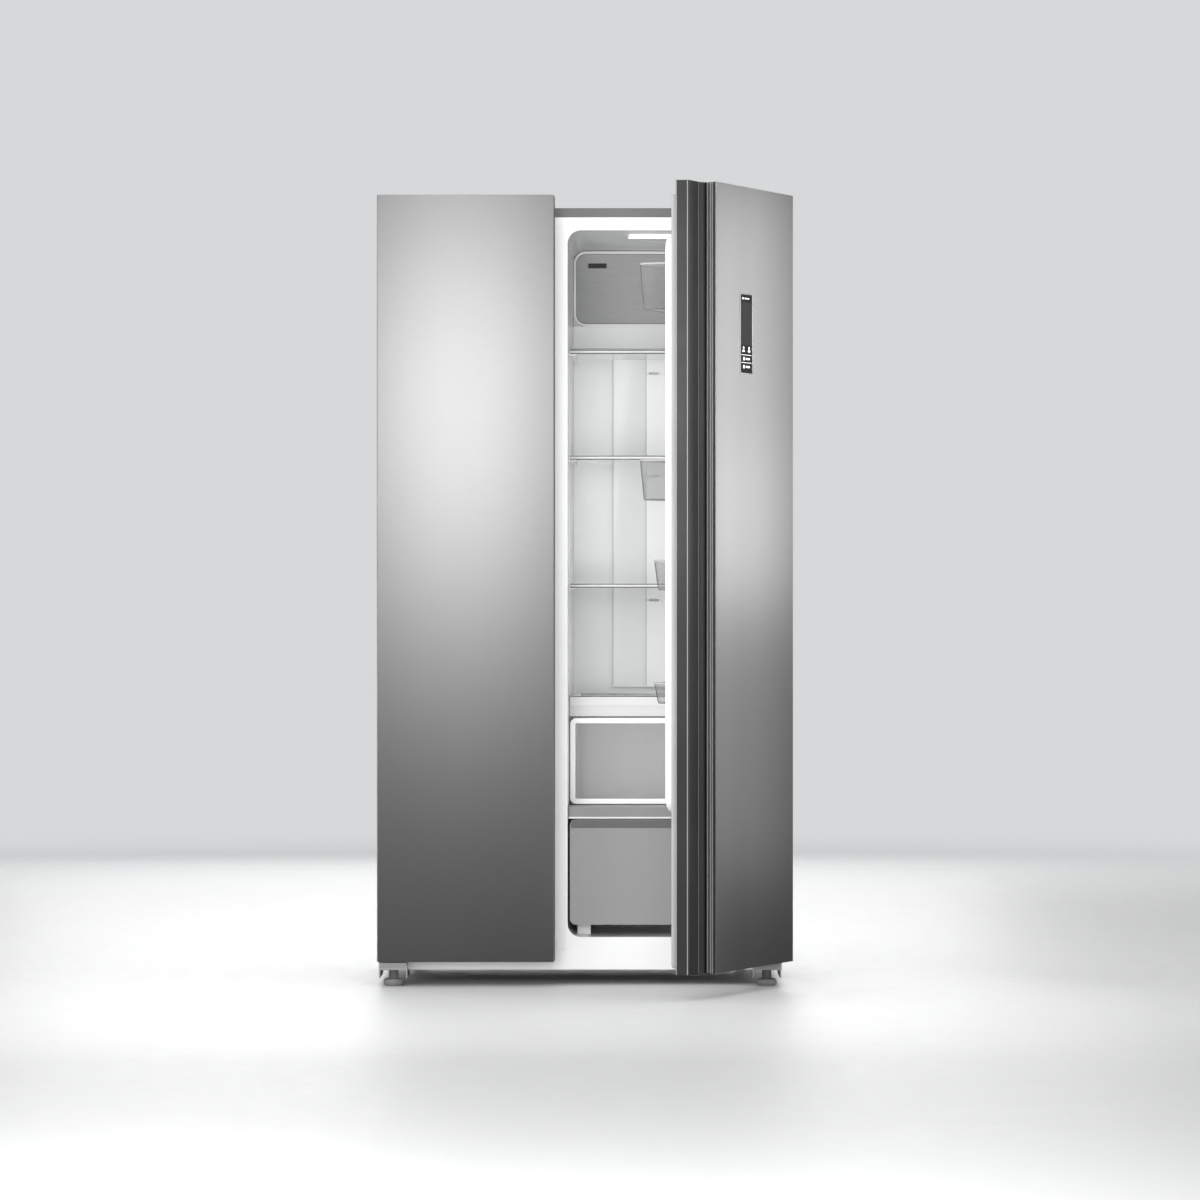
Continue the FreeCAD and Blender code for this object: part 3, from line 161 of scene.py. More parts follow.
def eased_path(points, radii, steps=6):
    """A polyline whose inner corners are arcs of the given radii."""
    path = [Vector(points[0])]
    for before, corner, after, radius in zip(points, points[1:], points[2:], radii):
        corner = Vector(corner)
        a = (Vector(before) - corner).normalized()
        b = (Vector(after) - corner).normalized()
        half = a.angle(b) / 2
        if radius <= 0 or half > math.radians(89):
            path.append(corner)
            continue
        reach = radius / math.tan(half)
        centre = corner + (a + b).normalized() * (radius / math.sin(half))
        start, end = corner + a * reach - centre, corner + b * reach - centre
        sweep = start.angle_signed(end)
        for i in range(steps + 1):
            t = -sweep * i / steps
            turned = Vector(
                (
                    start.x * math.cos(t) - start.y * math.sin(t),
                    start.x * math.sin(t) + start.y * math.cos(t),
                )
            )
            path.append(centre + turned)
    path.append(Vector(points[-1]))
    return path


def offset_path(path, distance):
    """The polyline moved to its left by a distance, with mitred corners."""
    moved = []
    for i, p in enumerate(path):
        before = path[i] - path[i - 1] if i else path[1] - path[0]
        after = path[i + 1] - path[i] if i + 1 < len(path) else before
        n1 = Vector((-before.y, before.x)).normalized()
        n2 = Vector((-after.y, after.x)).normalized()
        mid = (n1 + n2).normalized()
        moved.append(p + mid * (distance / max(mid.dot(n1), 0.3)))
    return moved


def add_wall(bm, path, thickness, levels, open_cells=()):
    """A thick sheet that stands on a plan path, built in cells so that some can stay open.
    open_cells holds (first, last, low, high): path columns and height rows that are left out."""
    inner = offset_path(path, thickness)
    grid = [
        [[bm.verts.new((p.x, p.y, z)) for z in levels] for p in side] for side in (path, inner)
    ]
    columns, rows = len(path) - 1, len(levels) - 1

    def is_open(c, r):
        if not (0 <= c < columns and 0 <= r < rows):
            return True
        return any(a <= c < b and low <= r < high for a, b, low, high in open_cells)

    for c in range(columns):
        for r in range(rows):
            if is_open(c, r):
                continue
            for side in grid:
                bm.faces.new((side[c][r], side[c + 1][r], side[c + 1][r + 1], side[c][r + 1]))
            for dc, dr, a, b in (
                (-1, 0, (c, r), (c, r + 1)),
                (1, 0, (c + 1, r), (c + 1, r + 1)),
                (0, -1, (c, r), (c + 1, r)),
                (0, 1, (c, r + 1), (c + 1, r + 1)),
            ):
                if is_open(c + dc, r + dr):
                    o, i = grid
                    bm.faces.new((o[a[0]][a[1]], o[b[0]][b[1]], i[b[0]][b[1]], i[a[0]][a[1]]))


def add_ring(bm, x, z, radius, section, steps=6):
    """A section of (inset, y) points swept round an upright rounded rectangle."""
    loops = []
    for inset, y in section:
        wide, high = (x[0] + inset, x[1] - inset), (z[0] + inset, z[1] - inset)
        plan = rounded_plan(wide, high, max(radius - inset, LEAST_RADIUS), steps)
        loops.append([(px, y, pz) for px, pz in plan])
    add_loft(bm, loops, closed=True)


def add_plate(bm, x, y, z, radius, steps=6):
    """An upright plate with rounded corners, thick along Y."""
    plan = rounded_plan(x, z, radius, steps)
    add_loft(bm, [[(px, yy, pz) for px, pz in plan] for yy in y])


def add_turned(bm, centre, axis, profile, sides=32):
    """A profile of (radius, height) points turned about an axis through centre."""
    turn = Vector((0, 0, 1)).rotation_difference(Vector(axis)).to_matrix()
    loops = []
    for radius, height in profile:
        loop = []
        for i in range(sides):
            a = 2 * math.pi * i / sides
            spot = Vector((radius * math.cos(a), radius * math.sin(a), height))
            loop.append(Vector(centre) + turn @ spot)
        loops.append(loop)
    add_loft(bm, loops)


def add_tray(bm, levels, wall, floor):
    """An open tray from (z, x0, x1, y0, y1, radius) levels, bottom first, with real walls."""
    loops = []
    for z, x0, x1, y0, y1, r in levels:
        loops.append([(px, py, z) for px, py in rounded_plan((x0, x1), (y0, y1), r)])
    for z, x0, x1, y0, y1, r in reversed(levels):
        if z == levels[0][0]:
            z += floor
        plan = rounded_plan((x0 + wall, x1 - wall), (y0 + wall, y1 - wall), max(r - wall, MM))
        loops.append([(px, py, z) for px, py in plan])
    add_loft(bm, loops)


def add_band(bm, outer, inner, low_z, high_z):
    """A closed hoop between two plans of the same number of points."""
    loops = [(outer, low_z), (outer, high_z), (inner, high_z), (inner, low_z)]
    add_loft(bm, [[(px, py, z) for px, py in plan] for plan, z in loops], closed=True)


# ---- Materials ---------------------------------------------------------------------------------


def material(name, color, rough=0.4, metallic=0.0, **sockets):
    """A shader with its constants on its own sockets."""
    mat = bpy.data.materials.new(name)
    mat.use_nodes = True
    tree = mat.node_tree
    shader = tree.nodes["Principled BSDF"]
    shader.inputs["Base Color"].default_value = (*color, 1.0)
    shader.inputs["Roughness"].default_value = rough
    shader.inputs["Metallic"].default_value = metallic
    for key, value in sockets.items():
        shader.inputs[key.replace("_", " ")].default_value = value
    mat.diffuse_color = (*color, 1.0)
    return mat


def object_place(tree, scale=(1.0, 1.0, 1.0)):
    coords = tree.nodes.new("ShaderNodeTexCoord")
    mapping = tree.nodes.new("ShaderNodeMapping")
    mapping.inputs["Scale"].default_value = scale
    tree.links.new(coords.outputs["Object"], mapping.inputs["Vector"])
    return mapping.outputs["Vector"]


def noise(tree, scale, detail=4.0, stretch=(1.0, 1.0, 1.0), rough=0.5):
    node = tree.nodes.new("ShaderNodeTexNoise")
    node.inputs["Scale"].default_value = scale
    node.inputs["Detail"].default_value = detail
    node.inputs["Roughness"].default_value = rough
    tree.links.new(object_place(tree, stretch), node.inputs["Vector"])
    return node.outputs["Fac"]


def ranged(tree, value, low, high):
    node = tree.nodes.new("ShaderNodeMapRange")
    node.inputs["From Min"].default_value = 0.3
    node.inputs["From Max"].default_value = 0.7
    node.inputs["To Min"].default_value = low
    node.inputs["To Max"].default_value = high
    tree.links.new(value, node.inputs["Value"])
    return node.outputs["Result"]


def vary_color(mat, value, low, high):
    tree = mat.node_tree
    mix = tree.nodes.new("ShaderNodeMix")
    mix.data_type = "RGBA"
    mix.inputs[6].default_value = (*low, 1.0)
    mix.inputs[7].default_value = (*high, 1.0)
    tree.links.new(ranged(tree, value, 0.0, 1.0), mix.inputs[0])
    tree.links.new(mix.outputs[2], tree.nodes["Principled BSDF"].inputs["Base Color"])


def vary_rough(mat, value, low, high):
    tree = mat.node_tree
    shader = tree.nodes["Principled BSDF"]
    tree.links.new(ranged(tree, value, low, high), shader.inputs["Roughness"])


def bump(mat, value, strength, distance):
    tree = mat.node_tree
    node = tree.nodes.new("ShaderNodeBump")
    node.inputs["Strength"].default_value = strength
    node.inputs["Distance"].default_value = distance
    tree.links.new(value, node.inputs["Height"])
    tree.links.new(node.outputs["Normal"], tree.nodes["Principled BSDF"].inputs["Normal"])


def shade(level):
    """A neutral grey from its display value, 0 to 1, by the sRGB curve."""
    c = level / 12.92 if level <= 0.04045 else ((level + 0.055) / 1.055) ** 2.4
    return (c, c, c)


def mottled(name, level, rough, spread, metallic=0.0, grain=180.0, depth=0.00004, **sockets):
    """Moulded or painted stock: slight colour drift, rough patches and a fine skin texture."""
    mat = material(name, shade(level), rough, metallic, **sockets)
    tree = mat.node_tree
    vary_color(mat, noise(tree, 6.0, 3.0), shade(level - spread), shade(level + spread))
    vary_rough(mat, noise(tree, 22.0, 4.0), rough * 0.88, rough * 1.12)
    bump(mat, noise(tree, grain, 2.0), 0.12, depth)
    return mat


def brushed(name, level, rough, stretch, metallic=1.0, spread=0.02, depth=0.00002):
    """Metal with long fine scratches in one direction."""
    mat = material(name, shade(level), rough, metallic)
    tree = mat.node_tree
    streaks = noise(tree, 2600.0, 3.0, stretch, 0.6)
    vary_color(mat, streaks, shade(level - spread), shade(level + spread))
    vary_rough(mat, noise(tree, 1500.0, 2.0, stretch), rough * 0.97, rough * 1.03)
    bump(mat, streaks, 0.04, depth)
    return mat


def clear(name, color, face_alpha, edge_alpha, rough=0.08, blend=0.45):
    """Thin clear stock: nearly invisible face on, denser where it is seen along its surface."""
    mat = material(name, color, rough, IOR=1.5)
    tree = mat.node_tree
    weight = tree.nodes.new("ShaderNodeLayerWeight")
    weight.inputs["Blend"].default_value = blend
    node = tree.nodes.new("ShaderNodeMapRange")
    node.inputs["To Min"].default_value = face_alpha
    node.inputs["To Max"].default_value = edge_alpha
    tree.links.new(weight.outputs["Facing"], node.inputs["Value"])
    tree.links.new(node.outputs["Result"], tree.nodes["Principled BSDF"].inputs["Alpha"])
    return mat


HORIZONTAL_GRAIN = (0.012, 0.012, 1.0)
door_steel = brushed("door_steel", 0.80, 0.45, HORIZONTAL_GRAIN, spread=0.012)
grip_dark = mottled("grip_dark", 0.20, 0.36, 0.01)
# Lighter grey strips on the grip: painted highlights on its edges and lip ribs
grip_highlight = mottled("grip_highlight", 0.56, 0.3, 0.01)
# Near-black for the strip of painted shadow in the grip's undercut
undercut_shadow = mottled("undercut_shadow", 0.06, 0.5, 0.004)
cap_grey = mottled("cap_grey", 0.42, 0.42, 0.015)
white_gloss = mottled("white_gloss", 0.92, 0.22, 0.006, Coat_Weight=0.2)
white_satin = mottled("white_satin", 0.91, 0.38, 0.008)
white_enamel = mottled("white_enamel", 0.94, 0.32, 0.006)
gasket_grey = mottled("gasket_grey", 0.66, 0.6, 0.015)
panel_metal = brushed("panel_metal", 0.62, 0.42, HORIZONTAL_GRAIN, metallic=0.6, spread=0.03)
divider_grey = mottled("divider_grey", 0.56, 0.4, 0.01)
zinc = brushed("zinc", 0.74, 0.36, (0.3, 0.3, 0.3), metallic=0.45, spread=0.05)
foot_grey = mottled("foot_grey", 0.46, 0.35, 0.02)
dark_plastic = mottled("dark_plastic", 0.16, 0.45, 0.01)
black_enamel = mottled("black_enamel", 0.1, 0.3, 0.01)
cabinet_paint = mottled(
    "cabinet_paint", 0.64, 0.38, 0.008, metallic=0.2, grain=420.0, depth=0.00008
)
galvanised = mottled("galvanised", 0.72, 0.46, 0.01, metallic=0.25, grain=60.0)
foam_yellow = mottled("foam_yellow", 0.8, 0.9, 0.04)
aluminium = brushed("aluminium", 0.82, 0.3, (1.0, 1.0, 0.01))
copper = brushed("copper", 0.6, 0.3, (0.2, 0.2, 0.2))
copper.node_tree.nodes["Principled BSDF"].inputs["Base Color"].default_value = (0.8, 0.42, 0.25, 1)
board_green = mottled("board_green", 0.3, 0.5, 0.03)
clear_plastic = clear("clear_plastic", shade(0.90), 0.14, 0.6)
bin_clear = clear("bin_clear", shade(0.66), 0.05, 0.85, blend=0.15)
# Dark grey for the bins' foot and corner bands: painted shade along the clear edges
bin_edge_shade = clear("bin_edge_shade", shade(0.36), 0.7, 0.9)
rim_clear = clear("rim_clear", shade(0.74), 0.62, 0.9, 0.15)
strip_dark = mottled("strip_dark", 0.40, 0.35, 0.01)
seam_grey = mottled("seam_grey", 0.68, 0.5, 0.01)
edge_dark = mottled("edge_dark", 0.26, 0.4, 0.01)
cover_grey = mottled("cover_grey", 0.76, 0.3, 0.006)
frame_bright = mottled("frame_bright", 0.86, 0.25, 0.01, metallic=0.7)
shelf_clear = clear("shelf_clear", (0.80, 0.90, 0.87), 0.10, 0.75)
trim_clear = clear("trim_clear", shade(0.86), 0.6, 0.95, 0.2)
drawer_grey = clear("drawer_grey", shade(0.62), 0.86, 0.98, 0.28)
SMOOTH_SKIN = {"grain": 900.0, "depth": 0.00001, "Specular_IOR_Level": 0.1}
black_glass = mottled("black_glass", 0.05, 0.32, 0.004, **SMOOTH_SKIN)
screen_grey = mottled("screen_grey", 0.22, 0.45, 0.01, **SMOOTH_SKIN)


def glowing(name, level, rough, strength):
    white = (1.0, 1.0, 1.0, 1.0)
    return material(name, shade(level), rough, Emission_Color=white, Emission_Strength=strength)


lamp_white = glowing("lamp_white", 0.75, 0.4, 0.1)
lamp_bright = glowing("lamp_bright", 1.0, 0.3, 2.5)
icon_white = glowing("icon_white", 0.9, 0.4, 1.2)

look = {
    "galvanised_steel": galvanised, "insulation_foam": foam_yellow, "black_enamel": black_enamel,
    "dark_plastic": dark_plastic, "circuit_board": board_green, "brushed_metal_panel": panel_metal,
    "clear_plastic": clear_plastic, "grey_clear_plastic": drawer_grey, "heater_glass": shelf_clear,
    "black_glass": black_glass, "grey_plastic": divider_grey, "bare_aluminium": aluminium,
    "cap_plastic": cap_grey, "gasket_rubber": gasket_grey, "grip_trim": grip_dark,
    "white_plastic": white_gloss, "door_steel": door_steel, "shelf_glass": shelf_clear,
    "shelf_trim": trim_clear, "white_enamel": white_enamel, "bright_steel": zinc,
    "lamp_lens": lamp_white, "foot_plastic": foot_grey, "cabinet_paint": cabinet_paint,
    "copper_pipe": copper,
}

# ---- Every node: eased edges and its own material ----------------------------------------------

eased = {
    "outer_shell": 0.0008, "front_frame": 0.0012, "top_band": 0.0015, "larder_liner": 0.0025,
    "drawer_divider": 0.003, "larder_duct_cover": 0.003, "cooling_panel": 0.0006,
    "larder_shelf_glass": 0.0006, "larder_shelf_trims": 0.0012, "crisper_drawer": 0.0012,
    "lower_drawer": 0.002, "larder_door_panel": 0.0003, "freezer_door_panel": 0.0003,
    "larder_door_grip_trim": 0.001, "freezer_door_grip_trim": 0.001, "larder_door_lining": 0.004,
    "freezer_door_lining": 0.004, "larder_door_end_caps": 0.0008, "freezer_door_end_caps": 0.0008,
    "larder_door_gasket": 0.003, "freezer_door_gasket": 0.003, "larder_door_bins": 0.0008,
    "freezer_door_bins": 0.0008, "lower_hinge_brackets": 0.0008, "levelling_foot_left": 0.001,
    "levelling_foot_right": 0.001, "top_hinge_plates": 0.0008, "top_covers": 0.001,
    "display_glass": 0.0004, "display_module": 0.0003, "rear_panel": 0.0004, "base_pan": 0.0004,
    "machine_room_cover": 0.0004, "mains_gland": 0.0008, "freezer_liner": 0.0025,
    "freezer_duct_cover": 0.001, "freezer_shelves": 0.0006, "freezer_drawer_1": 0.0012,
    "freezer_drawer_2": 0.0012, "roller_brackets": 0.0006, "drain_tray": 0.0008,
}
built = {
    "larder_door_panel", "freezer_door_panel", "larder_door_grip_trim", "freezer_door_grip_trim",
    "larder_door_gasket", "freezer_door_gasket", "larder_door_bins", "freezer_door_bins",
    "levelling_foot_left", "levelling_foot_right", "hinge_screws",
}
for node in nodes:
    if node in built:
        continue
    if node in eased:
        refined(node, look[slot_of[node]], eased[node])
    else:
        paint(node, look[slot_of[node]])

# ---- Doors, built closed on the right-hand side and then put where each door is ----------------
LARDER_REST = math.radians(65)
pin = Vector(joint["larder_door_hinge"]["pos_m"])
to_open = Matrix.Translation(pin) @ Matrix.Rotation(LARDER_REST, 4, "Z") @ Matrix.Translation(-pin)
flip = Matrix.Scale(-1, 4, (1, 0, 0))
doors = {
    "larder": {"body": "right_door", "place": to_open, "back": to_open.inverted()},
    "freezer": {"body": "left_door", "place": flip, "back": flip},
}
STAY = Matrix.Identity(4)


def solid_boxes(node, place=STAY):
    """The box of each separate solid of a node, lowest first, after it is turned by place."""
    bm = bmesh.new()
    bm.from_mesh(nodes[node].data)
    bm.transform(place)
    bmesh.ops.remove_doubles(bm, verts=bm.verts, dist=WELD)
    seen, boxes = set(), []
    for start in bm.verts:
        if start in seen:
            continue
        seen.add(start)
        stack, group = [start], []
        while stack:
            vert = stack.pop()
            group.append(vert.co.copy())
            for edge in vert.link_edges:
                other = edge.other_vert(vert)
                if other not in seen:
                    seen.add(other)
                    stack.append(other)
        low = Vector([min(p[i] for p in group) for i in range(3)])
        high = Vector([max(p[i] for p in group) for i in range(3)])
        boxes.append((low, high))
    bm.free()
    return sorted(boxes, key=lambda box: (round(box[0].z, 4), box[0].x))


def node_box(node, place=STAY):
    boxes = solid_boxes(node, place)
    low = Vector([min(b[0][i] for b in boxes) for i in range(3)])
    high = Vector([max(b[1][i] for b in boxes) for i in range(3)])
    return low, high


def nearest(path, x, y):
    return min(range(len(path)), key=lambda i: (path[i] - Vector((x, y))).length)


UNDERCUT_DEEP = (14.6 * MM, 24.5 * MM)
UNDERCUT_LIP = (7.7 * MM, 10.0 * MM)
CHANNEL_FLOOR = 36.0 * MM
CHANNEL_SLOPE = 11.0 * MM
PANEL_SHEET = 0.8 * MM
TRIM_WALL = 3.0 * MM
POCKET_FRONT = 14.0 * MM
BEZEL = 1.5 * MM
LINE_END_GAP = 1 * MM


def door_panel(side):
    """The face sheet of a door, folded round its edges, with the notch for the top hinge."""
    door = doors[side]
    low, high = node_box(side + "_door_panel", door["back"])
    edge_x, face_y, hinge_x, back_y = low.x, low.y, high.x, high.y
    points = [
        (edge_x + UNDERCUT_DEEP[0], face_y + UNDERCUT_DEEP[1]),
        (edge_x + UNDERCUT_LIP[0], face_y + UNDERCUT_LIP[1]),
        (edge_x, face_y),
    ]
    radii = [4 * MM, 1.2 * MM]
    levels = [low.z]
    if side == "larder":
        glass_low, glass_high = node_box("display_glass", door["back"])
        window_x = (glass_low.x - BEZEL, glass_high.x + BEZEL)
        points += [(x, face_y) for x in window_x]
        radii += [0, 0]
        levels += [glass_low.z - BEZEL, glass_high.z + BEZEL]
    points += [(hinge_x, face_y), (hinge_x, face_y + POCKET_FRONT), (hinge_x, back_y)]
    radii += [2.5 * MM, 0]
    pocket_floor = node_box("outer_shell")[1].z - 1 * MM
    levels += [pocket_floor, high.z]
    path = eased_path(points, radii)
    pocket_start = nearest(path, hinge_x, face_y + POCKET_FRONT)
    open_cells = [(pocket_start, len(path) - 1, len(levels) - 2, len(levels) - 1)]
    if side == "larder":
        columns = [nearest(path, x, face_y) for x in window_x]
        open_cells.append((*columns, 1, 2))
    bm = bmesh.new()
    add_wall(bm, path, PANEL_SHEET, levels, open_cells)
    bm.transform(door["place"])
    name, hides = side + "_door_face", (side + "_door_panel",)
    publish(name, bm, door_steel, door["body"], hides, 0.0003, 2, 50)


def grip_trim(side):
    """The moulded side of a door with its finger channel, and strips of painted highlight and painted shadow on
    it.
    """
    door = doors[side]
    low, high = node_box(side + "_door_grip_trim", door["back"])
    panel_low = node_box(side + "_door_panel", door["back"])[0]
    edge_x, face_y, free_x, back_y = panel_low.x, panel_low.y, low.x, high.y
    points = [(free_x, back_y)]
    radii = []
    if edge_x - free_x > CHANNEL_SLOPE:
        points.append((free_x + CHANNEL_SLOPE, face_y + CHANNEL_FLOOR - 2 * MM))
        points.append((edge_x - 3 * MM, face_y + CHANNEL_FLOOR))
        radii = [3 * MM, 9 * MM]
    else:
        points.append((free_x, face_y + CHANNEL_FLOOR))
        radii = [2 * MM]
    points.append((edge_x + UNDERCUT_DEEP[0], face_y + UNDERCUT_DEEP[1]))
    path = eased_path(points, radii, 10)
    bm = bmesh.new()
    add_wall(bm, path, TRIM_WALL, [low.z, high.z])
    bm.transform(door["place"])
    hides = (side + "_door_grip_trim",)
    publish(side + "_door_channel", bm, grip_dark, door["body"], hides, 0.0006, 2, 50)

    # Lighter strips along the channel's edges and lip ribs are painted highlights; the black strip is painted
    # shadow in the undercut
    lines, shadow_strip = bmesh.new(), bmesh.new()
    strip_z = (low.z + LINE_END_GAP, high.z - LINE_END_GAP)

    def add_line(target, start, end, near, far, proud):
        """A strip along the door on the run from start to end, in millimetres along it."""
        run = (Vector(end) - Vector(start)).normalized()
        a, b = Vector(start) + run * near * MM, Vector(start) + run * far * MM
        outward = Vector((run.y, -run.x))
        if outward.dot(Vector((edge_x, back_y)) - a) > 0:
            outward = -outward
        under, over = -outward * MM, outward * proud * MM
        ring = [a + under, b + under, b + over, a + over]
        add_loft(target, [[(p.x, p.y, z) for p in ring] for z in strip_z])

    add_line(lines, points[0], points[1], 0.4, 2.4, 0.7)
    add_line(lines, points[-1], points[-2], 0.8, 3.0, 0.8)
    # A near-black strip in the undercut: painted shadow
    add_line(shadow_strip, points[-1], points[-2], 4.0, 9.0, 0.15)
    if len(points) > 3:
        add_line(lines, points[1], points[0], 2.6, 4.8, 0.8)
        add_line(lines, points[2], points[1], 7.0, 8.2, 0.5)
    lip = Vector((edge_x + UNDERCUT_LIP[0], face_y + UNDERCUT_LIP[1]))
    deep = Vector((edge_x + UNDERCUT_DEEP[0], face_y + UNDERCUT_DEEP[1]))
    for share in (0.12, 0.5):
        a = lip.lerp(deep, share)
        strip_x, strip_y = (a.x - 1.2 * MM, a.x + 1 * MM), (a.y - 1 * MM, a.y + 1 * MM)
        ring = rounded_plan(strip_x, strip_y, 0.6 * MM, 3)
        add_loft(lines, [[(x, y, z) for x, y in ring] for z in strip_z])
    for bm in (lines, shadow_strip):
        bm.transform(door["place"])
    name, body = side + "_door_channel", door["body"]
    publish(name + "_painted_shadow", shadow_strip, undercut_shadow, body, (), 0.0, 1, 50)
    publish(name + "_lines", lines, grip_highlight, body, (), 0.0001, 1, 50)


def gasket(side):
    """A magnetic seal with its bellows, swept round the back of a door."""
    door = doors[side]
    low, high = node_box(side + "_door_gasket", door["back"])
    y0, y1 = low.y, high.y
    deep = y1 - y0
    shares = [
        (0.0, 0.0), (0.6, 0.22), (2.6, 0.36), (0.8, 0.5), (0.0, 0.62), (0.0, 0.9),
        (1.0, 1.0), (13.0, 1.0), (14.0, 0.9), (14.0, 0.62), (13.0, 0.5), (11.2, 0.36),
        (13.2, 0.22), (14.0, 0.0),
    ]
    section = [(inset * MM, y0 + deep * share) for inset, share in shares]
    bm = bmesh.new()
    add_ring(bm, (low.x, high.x), (low.z, high.z), 9 * MM, section)
    bm.transform(door["place"])
    name, hides = side + "_door_seal", (side + "_door_gasket",)
    publish(name, bm, gasket_grey, door["body"], hides, 0.0, 2, 40)


BIN_WALL = 2.0 * MM
BIN_FLOOR = 2.5 * MM
BIN_CORNER = 22 * MM
RIM_HEIGHT = 5 * MM
RIM_WIDTH = 3.2 * MM
RIM_OVERLAP = 0.2 * MM
POST_HALF = 0.9 * MM
POST_CORNER = 0.8 * MM


def grown(span, by):
    return (span[0] - by, span[1] + by)


def door_bins(side):
    """Tapered clear bins, each with a thicker rim, and foot and corner bands of thicker plastic whose dark grey is
    painted shade.
    """
    door = doors[side]
    trays, rims, edges = bmesh.new(), bmesh.new(), bmesh.new()
    for low, high in solid_boxes(side + "_door_bins", door["back"]):
        x0, x1, y0, y1 = low.x, high.x, low.y, high.y
        foot_plan = (x0 + 5 * MM, x1 - 5 * MM, y0 + 1 * MM, y1 - 12 * MM, BIN_CORNER - 6 * MM)
        heel_plan = (x0 + 3 * MM, x1 - 3 * MM, y0 + 0.4 * MM, y1 - 9 * MM, BIN_CORNER - 3 * MM)
        mouth_plan = (x0 + 0.5 * MM, x1 - 0.5 * MM, y0, y1 - 0.6 * MM, BIN_CORNER)
        levels = [
            (low.z, *foot_plan),
            (low.z + 3 * MM, *heel_plan),
            (high.z - RIM_HEIGHT, *mouth_plan),
        ]
        add_tray(trays, levels, BIN_WALL, BIN_FLOOR)

        outer = rounded_plan((x0, x1), (y0, y1), BIN_CORNER)
        inner_x, inner_y = grown((x0, x1), -RIM_WIDTH), grown((y0, y1), -RIM_WIDTH)
        inner = rounded_plan(inner_x, inner_y, BIN_CORNER - 3 * MM)
        add_band(rims, outer, inner, high.z - RIM_HEIGHT + RIM_OVERLAP, high.z)

        # Foot band and corner posts: real thicker plastic, darkened with painted shade for the outlines of clear
        # edges
        foot_x, foot_y, radius = foot_plan[:2], foot_plan[2:4], foot_plan[4]
        outer = rounded_plan(grown(foot_x, 0.6 * MM), grown(foot_y, 0.6 * MM), radius)
        inner_x, inner_y = grown(foot_x, -1.2 * MM), grown(foot_y, -1.2 * MM)
        inner = rounded_plan(inner_x, inner_y, radius - 1.2 * MM)
        add_band(edges, outer, inner, low.z - 0.4 * MM, low.z + 1.4 * MM)

        for on_right in (False, True):
            post = []
            for z, left, right, _, front, radius in levels:
                turn = radius * (1 - math.sqrt(0.5))
                x, y = right - turn if on_right else left + turn, front - turn
                post_x, post_y = grown((x, x), POST_HALF), grown((y, y), POST_HALF)
                plan = rounded_plan(post_x, post_y, POST_CORNER, 3)
                post.append([(px, py, z) for px, py in plan])
            add_loft(edges, post)
    for bm in (trays, rims, edges):
        bm.transform(door["place"])
    body, slot, hides = door["body"], "clear_plastic", (side + "_door_bins",)
    publish(side + "_bin_trays", trays, bin_clear, body, hides, 0.0005, 2, 35)
    publish(side + "_bin_rims", rims, rim_clear, body, (), 0.0008, 2, 40)
    publish(side + "_bin_edges", edges, bin_edge_shade, body, (), 0.0, 2, 40)


for side in doors:
    door_panel(side)
    grip_trim(side)
    gasket(side)
    door_bins(side)

# Touch display: pale frame, black glass, a dark window and plain pictures that say nothing
glass_low, glass_high = node_box("display_glass", doors["larder"]["back"])
display_y = glass_low.y
middle = (glass_low.x + glass_high.x) / 2


def on_display(name, bm, look_of_it):
    bm.transform(to_open)
    publish(name, bm, look_of_it, "right_door", (), 0.00005, 1, 40)


bm = bmesh.new()
section = [(-1.5, 0.3), (-1.5, -0.5), (-1.0, -0.8), (0.4, -0.8), (0.6, -0.3), (0.6, 0.3)]
add_ring(
    bm,
    (glass_low.x, glass_high.x),
    (glass_low.z, glass_high.z),
    0.6 * MM,
    [(inset * MM, display_y + rise * MM) for inset, rise in section],
    3,
)
bm.transform(to_open)
publish("display_frame", bm, frame_bright, "right_door", (), 0.0, 1, 40)

top = glass_high.z
bm = bmesh.new()
add_plate(
    bm,
    (glass_low.x + 4 * MM, glass_high.x - 4 * MM),
    (display_y - 0.15 * MM, display_y + 0.2 * MM),
    (top - 112 * MM, top - 18 * MM),
    1.5 * MM,
)
on_display("display_window", bm, screen_grey)

bm = bmesh.new()
icon_y = (display_y - 0.25 * MM, display_y + 0.1 * MM)


def icon(x, z, radius=0.5):
    """A small flat mark; x and z are ranges in millimetres from the middle and from the top."""
    xs = (middle + x[0] * MM, middle + x[1] * MM)
    zs = (top - z[1] * MM, top - z[0] * MM)
    add_plate(bm, xs, icon_y, zs, radius * MM, 4)


icon((-21, -15), (7, 12), 2.4)
for start in (-9, 0, 9):
    icon((start, start + 6), (8, 11), 1.2)
for x in (-15, 15):
    icon((x - 3.2, x + 3.2), (115, 121.5), 3.1)
    icon((x - 6, x + 6), (123, 127), 1.6)
for z in (133, 150):
    icon((-27, 27), (z, z + 0.9), 0.3)
for z in (138.5, 156):
    icon((-17, -9), (z, z + 7), 1.5)
    icon((-3, 19), (z + 1.5, z + 5.5), 1.8)
on_display("display_marks", bm, icon_white)

# ---- Larder fittings ---------------------------------------------------------------------------
low, high = node_box("crisper_drawer")
bm = bmesh.new()
shape = [(0, 3.0), (0, -1.4), (1.4, -2.6), (10.0, -2.6), (12.0, -1.2), (12.5, 3.0)]
section = [(inset * MM, low.y + rise * MM) for inset, rise in shape]
add_ring(bm, (low.x, high.x), (low.z, high.z), 14 * MM, section)
publish("crisper_border", bm, white_satin, "crisper", (), 0.0004, 2, 40)

